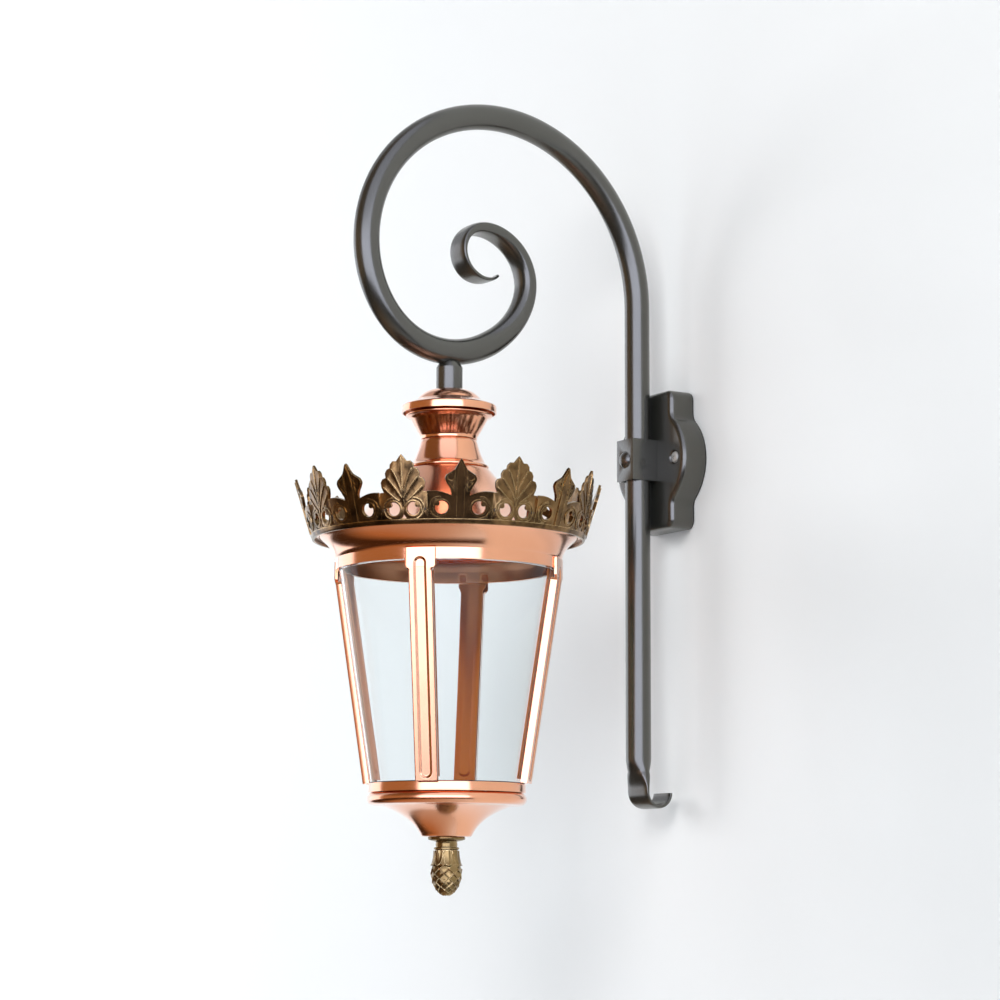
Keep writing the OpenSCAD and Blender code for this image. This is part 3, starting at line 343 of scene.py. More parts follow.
@dataclass(frozen=True)
class Finish:
    """A metal, paint or plastic surface, with its grain and patches, a painted highlight on its
    edges that is broken up like rubbed metal, and painted shade along pressed grooves.
    """

    name: str
    colour: Colour
    deep: Colour
    metallic: float
    roughness: float
    grain: Grain = Grain.CAST
    rough_spread: float = 0.06
    bump: float = 0.05
    bump_depth: float = 0.0002
    mottle_scale: float = 40.0
    mottle_contrast: float = 0.5
    # Colour of the painted edge highlight.
    edge: Colour | None = None
    edge_strength: float = 8.0
    coat: float = 0.0
    coat_roughness: float = 0.15
    ior: float = 1.5
    gloss_tint: Colour = (1.0, 1.0, 1.0)
    # Colour of the painted shade along pressed grooves.
    painted_crease_shade: Colour | None = None

    def build(self, effects: Effects) -> Material:
        """Makes the material.

        Args:
            effects: The shared shader groups.

        Returns:
            The material.
        """
        material, w = new_material(self.name)
        material.diffuse_color = (*self.colour, 1.0)
        mottle = w.add("ShaderNodeGroup", {"Scale": self.mottle_scale,
                                           "Contrast": self.mottle_contrast},
                       node_tree=effects.mottle)
        base = w.mix(mottle.outputs["Mask"], self.deep, self.colour)
        if self.grain is Grain.CAST:
            lines = mottle.outputs["Fine"]
        else:
            tree = effects.turned if self.grain is Grain.TURNED else effects.drawn
            lines = w.add("ShaderNodeGroup", node_tree=tree).outputs["Value"]
        # Painted highlight: edges take a lighter colour where the rounded normal leaves the true
        # one, broken up by the grain like rubbed metal.
        if self.edge is not None:
            lit_rubbed_edges = w.add("ShaderNodeGroup", {"Strength": self.edge_strength},
                         node_tree=effects.lit_rubbed_edges)
            broken = w.math("MULTIPLY", lit_rubbed_edges,
                            w.ramp(lines, [(0.38, 0.25), (0.6, 1.0)]))
            base = w.mix(broken, base, self.edge)
        # Painted shade: a per-point level darkens the groove edges of pressed sheet.
        if self.painted_crease_shade is not None:
            groove_shade_levels = w.add("ShaderNodeAttribute", attribute_name="painted_crease_shade")
            base = w.mix(groove_shade_levels.outputs["Fac"], base, self.painted_crease_shade)
        rough = w.math("ADD", self.roughness,
                       w.math("MULTIPLY", w.math("SUBTRACT", lines, 0.5), 2 * self.rough_spread))
        raised = w.add("ShaderNodeBump", {"Strength": self.bump, "Distance": self.bump_depth,
                                          "Height": lines})
        shader = w.add("ShaderNodeBsdfPrincipled", {
            "Base Color": base, "Roughness": rough, "Normal": raised,
            "Metallic": self.metallic, "Coat Weight": self.coat,
            "Coat Roughness": self.coat_roughness, "IOR": self.ior,
            "Specular Tint": self.gloss_tint})
        w.add("ShaderNodeOutputMaterial", {0: shader})
        return material


@dataclass(frozen=True)
class ClearGlass:
    """Clear glass that lets the lamps' light through to what lies behind it."""

    name: str
    tint: Colour
    shadow_tint: Colour = (0.93, 0.95, 0.96)
    ior: float = 1.2

    def build(self) -> Material:
        """Makes the material.

        Returns:
            The material.
        """
        material, w = new_material(self.name)
        shader = w.add("ShaderNodeBsdfPrincipled", {
            "Base Color": self.tint, "Roughness": 0.0, "IOR": self.ior,
            "Transmission Weight": 1.0})
        shadow = w.add("ShaderNodeLightPath").outputs["Is Shadow Ray"]
        through = w.add("ShaderNodeBsdfTransparent", {0: self.shadow_tint})
        both = w.add("ShaderNodeMixShader", {0: shadow, 1: shader,
                                             2: through})
        w.add("ShaderNodeOutputMaterial", {0: both})
        return material


class Palette:
    """Every finish of the lantern, as ready materials."""

    def __init__(self) -> None:
        """Builds the effects and the materials."""
        effects = Effects()
        copper = (0.86, 0.40, 0.22)
        copper_deep = (0.80, 0.34, 0.17)
        self.spun_copper = Finish(
            "Spun copper", copper, copper_deep, 1.0, 0.165, Grain.TURNED, rough_spread=0.04,
            bump=0.04, mottle_scale=14.0, mottle_contrast=0.3, coat=1.0).build(effects)
        # Pressed sheet: a painted dark brown shade along the groove edges.
        self.sheet_copper = Finish(
            "Brushed copper sheet", copper, copper_deep, 1.0, 0.17, Grain.DRAWN,
            rough_spread=0.05, bump=0.06, mottle_scale=18.0, mottle_contrast=0.3, coat=1.0,
            painted_crease_shade=(0.10, 0.028, 0.01)).build(effects)
        self.soft_copper = Finish(
            "Spun copper bowl", copper, copper_deep, 1.0, 0.2, Grain.TURNED, rough_spread=0.03,
            bump=0.02, mottle_scale=14.0, mottle_contrast=0.3, coat=1.0).build(effects)
        self.inner_copper = Finish(
            "Inside copper", (0.80, 0.31, 0.13), (0.74, 0.26, 0.10), 1.0, 0.34, Grain.DRAWN,
            rough_spread=0.05, bump=0.05, mottle_scale=18.0, mottle_contrast=0.3).build(effects)
        # Its edges are lightened a little: a painted edge highlight, broken up like rubbed paint.
        self.bracket = Finish(
            "Satin bracket paint", (0.019, 0.02, 0.0175), (0.016, 0.0167, 0.0147), 0.0, 0.25,
            Grain.CAST, rough_spread=0.04, bump=0.05, mottle_scale=9.0, mottle_contrast=0.4,
            edge=(0.07, 0.07, 0.063), edge_strength=2.0, ior=1.93,
            gloss_tint=(1.0, 0.965, 0.87)).build(effects)
        # Its edges take a painted gold highlight, broken up like rubbed metal.
        self.crown = Finish(
            "Dark bronze casting", (0.27, 0.155, 0.063), (0.035, 0.020, 0.009), 0.97, 0.22,
            Grain.CAST, rough_spread=0.06, bump=0.1, bump_depth=0.0003, mottle_scale=60.0,
            mottle_contrast=0.7, edge=(0.92, 0.66, 0.32), edge_strength=6.0).build(effects)
        # Its edges take a painted gold highlight, broken up like rubbed metal.
        self.finial = Finish(
            "Aged brass", (0.32, 0.215, 0.09), (0.10, 0.062, 0.024), 0.95, 0.22, Grain.CAST,
            rough_spread=0.05, bump=0.05, mottle_scale=45.0, mottle_contrast=0.7,
            edge=(0.92, 0.72, 0.40), edge_strength=5.0).build(effects)
        self.steel = Finish(
            "Zinc steel", linear(200, 200, 198), linear(170, 170, 168), 1.0, 0.3,
            Grain.DRAWN).build(effects)
        self.screw = Finish("Bright screw", (0.55, 0.55, 0.54), (0.47, 0.47, 0.46), 0.3,
                            0.35).build(effects)
        self.rubber = Finish("Seal rubber", (0.02, 0.02, 0.02), (0.03, 0.03, 0.03), 0.0,
                             0.7).build(effects)
        self.plastic = Finish("White plastic", (0.75, 0.75, 0.72), (0.7, 0.7, 0.68), 0.0,
                              0.45).build(effects)
        self.opal = Finish("Opal lens", (0.85, 0.85, 0.83), (0.82, 0.82, 0.8), 0.0,
                           0.25).build(effects)
        # Near-black rivet heads: painted shade, so that they read as rivet holes.
        self.hole = Finish("Rivet hole painted shade", (0.01, 0.009, 0.008), (0.015, 0.012, 0.01), 0.2,
                           0.6).build(effects)
        self.glass = ClearGlass("Clear glass", (0.93, 0.957, 0.964)).build()


def dress(names: Iterable[str], material: Material) -> None:
    """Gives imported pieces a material.

    Args:
        names: The nodes' names.
        material: The material for all their faces.
    """
    for name in names:
        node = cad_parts[name]
        node.data.materials.clear()
        node.data.materials.append(material)
        log.info("dressed %s in %s", name, material.name)


def named(prefix: str, count: int) -> list[str]:
    """Lists numbered node names, from 1.

    Args:
        prefix: The name without its number.
        count: How many there are.

    Returns:
        The names.
    """
    return [f"{prefix}_{number}" for number in range(1, count + 1)]


def place_object(name: str, data: bpy.types.ID) -> Thing:
    """Makes an object in the scene.

    Args:
        name: Its name.
        data: Its mesh, lamp or camera.

    Returns:
        The object.
    """
    made = bpy.data.objects.new(name, data)
    bpy.context.scene.collection.objects.link(made)
    return made


def shade(work: bmesh.types.BMesh, sharp: float) -> None:
    """Shades a mesh smooth up to an angle.

    Args:
        work: The mesh being worked on.
        sharp: Edges that turn by more than this, in radians, stay sharp.
    """
    for face in work.faces:
        face.smooth = True
    for edge in work.edges:
        edge.smooth = len(edge.link_faces) < 2 or edge.calc_face_angle(0.0) < sharp


def mesh_piece(name: str, vertices: Sequence[Sequence[float]], faces: Sequence[Sequence[int]],
               material: Material) -> Thing:
    """Makes a smooth-shaded piece from points in metres.

    Args:
        name: The piece's name.
        vertices: The points.
        faces: Faces as lists of point numbers.
        material: Its material.

    Returns:
        The new object.
    """
    mesh = bpy.data.meshes.new(name)
    mesh.from_pydata([tuple(v) for v in vertices], [], [tuple(f) for f in faces])
    mesh.materials.append(material)
    mesh.polygons.foreach_set("use_smooth", [True] * len(mesh.polygons))
    mesh.update()
    return place_object(name, mesh)


def finish_piece(piece: Thing, slot: str, *nodes: str) -> Thing:
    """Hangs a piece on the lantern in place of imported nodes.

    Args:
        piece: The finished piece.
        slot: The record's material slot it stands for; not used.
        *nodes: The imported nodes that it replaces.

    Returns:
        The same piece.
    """
    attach(piece, BODY)
    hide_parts(*nodes)
    log.info("made %s, %d faces", piece.name, len(piece.data.polygons))
    return piece


def smooth_copy(node: str, material: Material, slot: str, bevel: float = 0.0,
                angle: float = 28.0) -> Thing:
    """Makes a merged, smooth-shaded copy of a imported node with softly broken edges.

    Args:
        node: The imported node.
        material: The copy's material.
        slot: The record's material slot.
        bevel: Width of the broken edges in millimetres, or 0 for none.
        angle: Edges sharper than this many degrees stay sharp.

    Returns:
        The copy, which replaces the node.
    """
    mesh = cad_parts[node].data.copy()
    mesh.name = f"{node}_dressed"
    work = bmesh.new()
    work.from_mesh(mesh)
    bmesh.ops.remove_doubles(work, verts=work.verts, dist=WELD)
    bmesh.ops.dissolve_limit(work, angle_limit=math.radians(FLAT_ANGLE), verts=work.verts,
                             edges=work.edges)
    if bevel > 0:
        sharp = [e for e in work.edges if len(e.link_faces) == 2
                 and e.calc_face_angle(0.0) > math.radians(max(angle, BEVEL_ANGLE))]
        bmesh.ops.bevel(work, geom=sharp, offset=bevel * MM, segments=2, profile=0.6,
                        affect="EDGES", clamp_overlap=True)
    shade(work, math.radians(angle))
    work.to_mesh(mesh)
    work.free()
    mesh.materials.clear()
    mesh.materials.append(material)
    return finish_piece(place_object(f"{node}_dressed", mesh), slot, node)


def settle(mesh: Mesh, sharp: float, weld: float = 0.0) -> None:
    """Turns a mesh's faces outward and shades it smooth up to an angle.

    Args:
        mesh: The mesh to change.
        sharp: Edges that turn by more than this, in radians, stay sharp.
        weld: Points closer than this, in metres, become one.
    """
    work = bmesh.new()
    work.from_mesh(mesh)
    if weld > 0:
        bmesh.ops.remove_doubles(work, verts=work.verts, dist=weld)
    bmesh.ops.recalc_face_normals(work, faces=work.faces)
    shade(work, sharp)
    work.to_mesh(mesh)
    work.free()


def skin(rings: int, count: int) -> list[tuple[int, ...]]:
    """Lists the faces that join closed rings of points, with a cap at each end.

    Args:
        rings: How many rings there are.
        count: Points in each ring.

    Returns:
        The faces, as point numbers.
    """
    faces = [(a * count + b, (a + 1) * count + b, (a + 1) * count + (b + 1) % count,
              a * count + (b + 1) % count) for a in range(rings - 1) for b in range(count)]
    return [*faces, tuple(range(count)),
            tuple((rings - 1) * count + b for b in reversed(range(count)))]


def lathe(outline: Sequence[Point], centre: Point, sides: int = 96) -> tuple[list, list]:
    """Turns an outline about an upright axis.

    Args:
        outline: Radius and height of each point in metres, from the top down.
        centre: X and Y of the axis.
        sides: Points round it.

    Returns:
        Vertices and faces, closed where the outline ends.
    """
    turn = [2 * math.pi * step / sides for step in range(sides)]
    points = [(centre[0] + r * math.cos(a), centre[1] + r * math.sin(a), z)
              for r, z in outline for a in turn]
    return points, skin(len(outline), sides)


def sheet(surface: Callable[[float, float], Sequence[float]], rows: int, columns: int,
          thick: float) -> Mesh:
    """Makes a small thick leaf from a function of two shares.

    Args:
        surface: Gives a point in metres for two shares from 0 to 1.
        rows: Faces along the first share.
        columns: Faces along the second share.
        thick: Thickness in metres, towards the back.

    Returns:
        The closed mesh.
    """
    work = bmesh.new()
    grid = [[work.verts.new(surface(i / rows, j / columns)) for j in range(columns + 1)]
            for i in range(rows + 1)]
    for i in range(rows):
        for j in range(columns):
            work.faces.new((grid[i][j], grid[i + 1][j], grid[i + 1][j + 1], grid[i][j + 1]))
    bmesh.ops.remove_doubles(work, verts=work.verts, dist=1e-6)
    bmesh.ops.recalc_face_normals(work, faces=work.faces)
    work.faces.ensure_lookup_table()
    middle = work.faces[len(work.faces) // 2]
    if middle.normal.y < 0:
        bmesh.ops.reverse_faces(work, faces=work.faces)
    bmesh.ops.solidify(work, geom=work.faces, thickness=thick)
    bmesh.ops.recalc_face_normals(work, faces=work.faces)
    shade(work, math.radians(42))
    mesh = bpy.data.meshes.new("leaf")
    work.to_mesh(mesh)
    work.free()
    return mesh


@dataclass(frozen=True)
class Stand:
    """The place of one copy: where it stands, how it is turned and its size."""

    at: Place
    turn: Place
    size: float = 1.0

    @classmethod
    def round_axis(cls, centre: Point, radius: float, angle: float, height: float, tilt: float,
                   size: float) -> "Stand":
        """Makes a stand that faces away from an upright axis.

        Args:
            centre: X and Y of the axis in metres.
            radius: Distance from the axis in millimetres.
            angle: Direction from the axis in radians.
            height: Height in metres.
            tilt: Lean outward in radians.
            size: Scale of the copy.

        Returns:
            The stand.
        """
        return cls((centre[0] + radius * MM * math.cos(angle),
                    centre[1] + radius * MM * math.sin(angle), height),
                   (tilt, 0.0, angle - math.pi / 2), size)


class Copies:
    """Repeats a small piece on given stands with a Geometry Nodes tree."""

    def __init__(self) -> None:
        """Builds the tree once, with its named inputs."""
        tree = bpy.data.node_groups.new("Copies on stands", "GeometryNodeTree")
        for label, kind in (("Geometry", "NodeSocketGeometry"), ("Copy", "NodeSocketObject"),
                            ("Finish", "NodeSocketMaterial")):
            tree.interface.new_socket(label, in_out="INPUT", socket_type=kind)
        tree.interface.new_socket("Geometry", in_out="OUTPUT", socket_type="NodeSocketGeometry")
        w = Wiring(tree)
        source = w.add("NodeGroupInput")
        turn = w.add("GeometryNodeInputNamedAttribute", {"Name": "turn"},
                     data_type="FLOAT_VECTOR")
        size = w.add("GeometryNodeInputNamedAttribute", {"Name": "size"}, data_type="FLOAT")
        copy = w.add("GeometryNodeObjectInfo", {"Object": source.outputs["Copy"]})
        placed = w.add("GeometryNodeInstanceOnPoints", {
            "Points": source.outputs["Geometry"], "Instance": copy.outputs["Geometry"],
            "Rotation": turn.outputs["Attribute"], "Scale": size.outputs["Attribute"]})
        real = w.add("GeometryNodeRealizeInstances", {"Geometry": placed})
        dressed = w.add("GeometryNodeSetMaterial", {
            "Geometry": real, "Material": source.outputs["Finish"]})
        w.add("NodeGroupOutput", {0: dressed})
        self.tree = tree

    def make(self, name: str, shape: Mesh, stands: Sequence[Stand],
             material: Material, slot: str, node: str) -> None:
        """Places the copies and turns them into one plain piece.

        Args:
            name: The new piece's name.
            shape: The mesh to repeat.
            stands: Where the copies go.
            material: Their material.
            slot: The record's material slot.
            node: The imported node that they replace.
        """
        points = bpy.data.meshes.new(f"{name}_stands")
        points.from_pydata([stand.at for stand in stands], [], [])
        turns = points.attributes.new("turn", "FLOAT_VECTOR", "POINT")
        turns.data.foreach_set("vector", [v for stand in stands for v in stand.turn])
        sizes = points.attributes.new("size", "FLOAT", "POINT")
        sizes.data.foreach_set("value", [stand.size for stand in stands])
        holder = place_object(f"{name}_holder", points)
        model = place_object(f"{name}_model", shape)
        modifier = holder.modifiers.new("Copies", "NODES")
        modifier.node_group = self.tree
        values = {"Copy": model, "Finish": material}
        for item in self.tree.interface.items_tree:
            if item.item_type == "SOCKET" and item.in_out == "INPUT" and item.name in values:
                modifier[item.identifier] = values[item.name]
        bpy.context.view_layer.update()
        graph = bpy.context.evaluated_depsgraph_get()
        mesh = bpy.data.meshes.new_from_object(holder.evaluated_get(graph))
        holder.modifiers.remove(modifier)
        for thing in (holder, model):
            bpy.data.objects.remove(thing)
        mesh.name = name
        for attribute in ("turn", "size"):
            if attribute in mesh.attributes:
                mesh.attributes.remove(mesh.attributes[attribute])
        finish_piece(place_object(name, mesh), slot, node)


def islands(node: str) -> list[np.ndarray]:
    """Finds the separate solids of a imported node.

    Args:
        node: The node's name.

    Returns:
        The points of each solid.
    """
    work = bmesh.new()
    work.from_mesh(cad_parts[node].data)
    bmesh.ops.remove_doubles(work, verts=work.verts, dist=WELD)
    left = set(work.verts)
    groups = []
    while left:
        queue, found = [left.pop()], []
        while queue:
            vertex = queue.pop()
            found.append(tuple(vertex.co))
            for edge in vertex.link_edges:
                other = edge.other_vert(vertex)
                if other in left:
                    left.remove(other)
                    queue.append(other)
        groups.append(np.array(found))
    work.free()
    return groups


@dataclass
class WallCover:
    """The cast cover of the wall box, with a bulge on each side and a rounded front edge.

    Sizes are in millimetres.
    """

    palette: Palette
    depth: float = 28.0
    half_h: float = 68.5
    shoulder: float = 37.0
    bulge: float = 58.0
    corner: float = 9.0
    round: float = 5.0
    cove_r: float = 12.0
    bulge_r: float = 50.0
    back: float = 1.5
    screw_x: float = 42.0
    dent_r: float = 6.4
    dent: float = 2.0

    def quarter(self, inset: float) -> list[Point]:
        """Gives a quarter of the outline at a distance inside the edge, from top to side."""
        reach = self.shoulder + self.cove_r - self.bulge + self.bulge_r
        rise = math.sqrt((self.bulge_r + self.cove_r) ** 2 - reach ** 2)
        blend = math.atan2(rise, reach)
        arcs = [((self.shoulder - self.corner, self.half_h - self.corner), self.corner - inset,
                 math.pi / 2, 0.0, 9),
                ((self.shoulder + self.cove_r, rise), self.cove_r + inset, math.pi,
                 math.pi + blend, 9),
                ((self.bulge - self.bulge_r, 0.0), self.bulge_r - inset, blend * 0.93, 0.0, 44)]
        return [(c[0] + r * math.cos(a), c[1] + r * math.sin(a))
                for c, r, start, end, steps in arcs
                for a in np.linspace(start, end, steps)]

    def outline(self, inset: float) -> list[Point]:
        """Gives the whole outline from its four quarters."""
        part = self.quarter(inset)
        right = part + [(x, -z) for x, z in reversed(part[:-1])]
        return right + [(-x, z) for x, z in reversed(right)]

    def sink(self, x: float, z: float) -> float:
        """Gives the depth of the recess round a screw at a point of the face."""
        away = math.hypot(abs(x) - self.screw_x, z) - self.dent_r
        return self.dent * min(1.0, max(0.0, 1.0 - away / 0.8))

    def build(self) -> None:
        """Makes the cover as rings from the wall to the middle of its face."""
        rings = [[(x, -self.back, z) for x, z in self.outline(0.0)]]
        for turn in np.linspace(0, math.pi / 2, 9):
            inset = self.round * (1 - math.cos(turn))
            y = -(self.depth - self.round + self.round * math.sin(turn))
            rings.append([(x, y, z) for x, z in self.outline(inset)])
        face = self.outline(self.round)
        for share in (0.985, *np.arange(0.95, 0.63, -0.013), 0.6, 0.35, 0.1):
            flat = [(x * share, z * share) for x, z in face]
            rings.append([(x, -self.depth + self.sink(x, z), z) for x, z in flat])
        points = [tuple(v * MM for v in point) for ring in rings for point in ring]
        piece = mesh_piece("wall_cover_cast", points, skin(len(rings), len(rings[0])),
                           self.palette.bracket)
        settle(piece.data, 0.7, 0.0001 * MM)
        finish_piece(piece, "bracket_paint", "wall_cover")


@dataclass
class ScrollBracket:
    """The bent tube with its hook and curl, the stem under it, and the wall box with its clip.

    Sizes are in millimetres.
    """

    palette: Palette
    tube_d: float = 25.0
    tube_off: float = 42.0
    bend_z: float = 152.0
    hook_drop: float = 325.0
    hook_taper: float = 33.0
    hook_r: float = 14.5
    hook_turn: float = 176.0
    hook_w: float = 34.0
    hook_tip_w: float = 29.0
    hook_t: float = 4.0
    hook_power: float = 5.0
    curl_w: float = 28.0
    curl_t: float = 5.0
    turn_end: float = 672.0
    clearance: float = 0.3
    sides: int = 40
    step: float = 2.0
    radii: list[Point] = field(default_factory=lambda: [
        (0, 182), (60, 162), (120, 148), (180, 124), (240, 77), (300, 102),
        (360, 45), (420, 56), (480, 21), (560, 27), (700, 24)])

    def section(self, at: Point, heading: float, width: float, thick: float,
                power: float) -> list[list[float]]:
        """Gives the points of one section of the tube.

        Args:
            at: Place on the bracket's plane, Y and Z.
            heading: Direction of the tube in degrees.
            width: Width along X.
            thick: Thickness on the bracket's plane.
            power: Squareness, 2 for an ellipse.

        Returns:
            Points in metres.
        """
        turn = np.linspace(0, 2 * math.pi, self.sides, endpoint=False)
        cosine, sine = np.cos(turn), np.sin(turn)
        width, thick = width - self.clearance, thick - self.clearance
        across = width / 2 * np.sign(cosine) * np.abs(cosine) ** (2 / power)
        out = thick / 2 * np.sign(sine) * np.abs(sine) ** (2 / power)
        angle = math.radians(heading)
        return np.stack([across, at[0] - out * math.sin(angle), at[1] + out * math.cos(angle)],
                        axis=1) * MM

    def sections(self) -> list[np.ndarray]:
        """Gives every section from the hook's tip to the curl's tip.

        Returns:
            The sections in order.
        """
        made = []
        for share in np.linspace(1, 0, 41):
            angle = self.hook_turn * share
            flat = math.radians(angle)
            place = (-self.tube_off + self.hook_r * (1 - math.cos(flat)),
                     -self.hook_drop - self.hook_r * math.sin(flat))
            width = self.hook_w + (self.hook_tip_w - self.hook_w) * share
            made.append(self.section(place, 90 + angle, width, self.hook_t, self.hook_power))
        for share in np.linspace(0, 1, 25)[1:]:
            ease = share * share * (3 - 2 * share)
            made.append(self.section(
                (-self.tube_off, -self.hook_drop + self.hook_taper * share), 90,
                self.hook_w + (self.tube_d - self.hook_w) * ease,
                self.hook_t + (self.tube_d - self.hook_t) * ease,
                self.hook_power + (2 - self.hook_power) * min(1, 1.6 * ease)))
        turns, radii = zip(*self.radii)
        place, turn = np.array([-self.tube_off, self.bend_z]), 0.0
        d = self.tube_d
        while turn <= self.turn_end + 1e-6:
            width = np.interp(turn, [300, 400, 540, 600, 640, self.turn_end],
                              [d, d + 1.5, self.curl_w, self.curl_w - 1, self.curl_w * 0.8,
                               self.curl_w * 0.3])
            thick = np.interp(turn, [300, 360, 450, 540, 600, self.turn_end],
                              [d, d * 0.7, d * 0.48, self.curl_t + 1, self.curl_t,
                               self.curl_t * 0.6])
            power = np.interp(turn, [300, 360, 450, self.turn_end], [2, 2.6, 3.2, 4])
            made.append(self.section(tuple(place), 90 + turn, width, thick, power))
            radius = np.interp(turn + self.step / 2, turns, radii)
            heading = math.radians(90 + turn + self.step / 2)
            chord = 2 * radius * math.sin(math.radians(self.step / 2))
            place = place + chord * np.array([math.cos(heading), math.sin(heading)])
            turn += self.step
        return made

    def tube(self) -> None:
        """Makes the tube as one smooth sweep with closed ends."""
        rings = self.sections()
        piece = mesh_piece("scroll_tube_forged", np.concatenate(rings),
                           skin(len(rings), self.sides), self.palette.bracket)
        settle(piece.data, math.radians(40))
        finish_piece(piece, "bracket_paint", "scroll_tube")

    def build(self) -> None:
        """Makes and dresses the bracket's pieces."""
        self.tube()
        WallCover(self.palette).build()
        for node, bevel in (("drop_stem", 0.5), ("tube_clip", 0.7), ("clip_bolt", 0.0)):
            smooth_copy(node, self.palette.bracket, "bracket_paint", bevel)
        smooth_copy("cover_screws", self.palette.screw, "steel", 0.0)
        dress(["wall_plate"], self.palette.steel)
        dress(["cover_gasket"], self.palette.rubber)
        dress(["terminal_block"], self.palette.plastic)


@dataclass
class LanternTop:
    """The spun cap, necks, roof and upper band, and the hanger inside them."""

    palette: Palette

    def build(self) -> None:
        """Dresses the shells."""
        for node in ("cap", "upper_neck", "lower_neck", "roof", "upper_band"):
            smooth_copy(node, self.palette.spun_copper, "copper", 0.25, angle=40)
        dress(["hanger_nipple", "hanger_disc", "hanger_nut"], self.palette.steel)


@dataclass
class Crown:
    """The band of cast leaves and spears round the roof."""

    palette: Palette
    copies: Copies
    castings: int = 8
    rivet_dome: float = 0.45

    def rivets(self) -> None:
        """Makes the domed rivets where the castings meet, each on its packed rivet, near-black as
        painted shade so that they read as holes.
        """
        low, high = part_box("roof")
        middle = (low + high) / 2
        stands, reach = [], 0.0
        for points in islands("crown_rivets"):
            centre = points.mean(axis=0)
            out = np.array([centre[0] - middle.x, centre[1] - middle.y, 0.0])
            out /= np.linalg.norm(out)
            face = float(((points - centre) @ out).max())
            side = np.array([-out[1], out[0], 0.0])
            reach = float(((points - centre) @ side).max())
            stands.append(Stand(tuple(centre + out * (face - 0.0002)),
                                (0.0, 0.0, math.atan2(out[1], out[0]) - math.pi / 2)))
        dome = [(reach * math.cos(a), reach * self.rivet_dome * math.sin(a))
                for a in np.linspace(0, math.pi / 2 - 0.05, 7)]
        outline = [*reversed(dome), (reach, -0.0012)]
        points, faces = lathe(outline, (0.0, 0.0), 24)
        shape = bpy.data.meshes.new("rivet")
        shape.from_pydata([(x, z, y) for x, y, z in points], [], [f[::-1] for f in faces])
        shape.polygons.foreach_set("use_smooth", [True] * len(shape.polygons))
        # The rivets are dressed in near-black painted shade.
        self.copies.make("crown_rivets_domed", shape, stands, self.palette.hole,
                         "crown_bronze", "crown_rivets")

    def build(self) -> None:
        """Dresses the castings and makes their rivets."""
        for node in ["crown_band", *named("crown_leaf", self.castings),
                     *named("crown_spear", self.castings)]:
            smooth_copy(node, self.palette.crown, "crown_bronze", 0.2, angle=30)
        self.rivets()


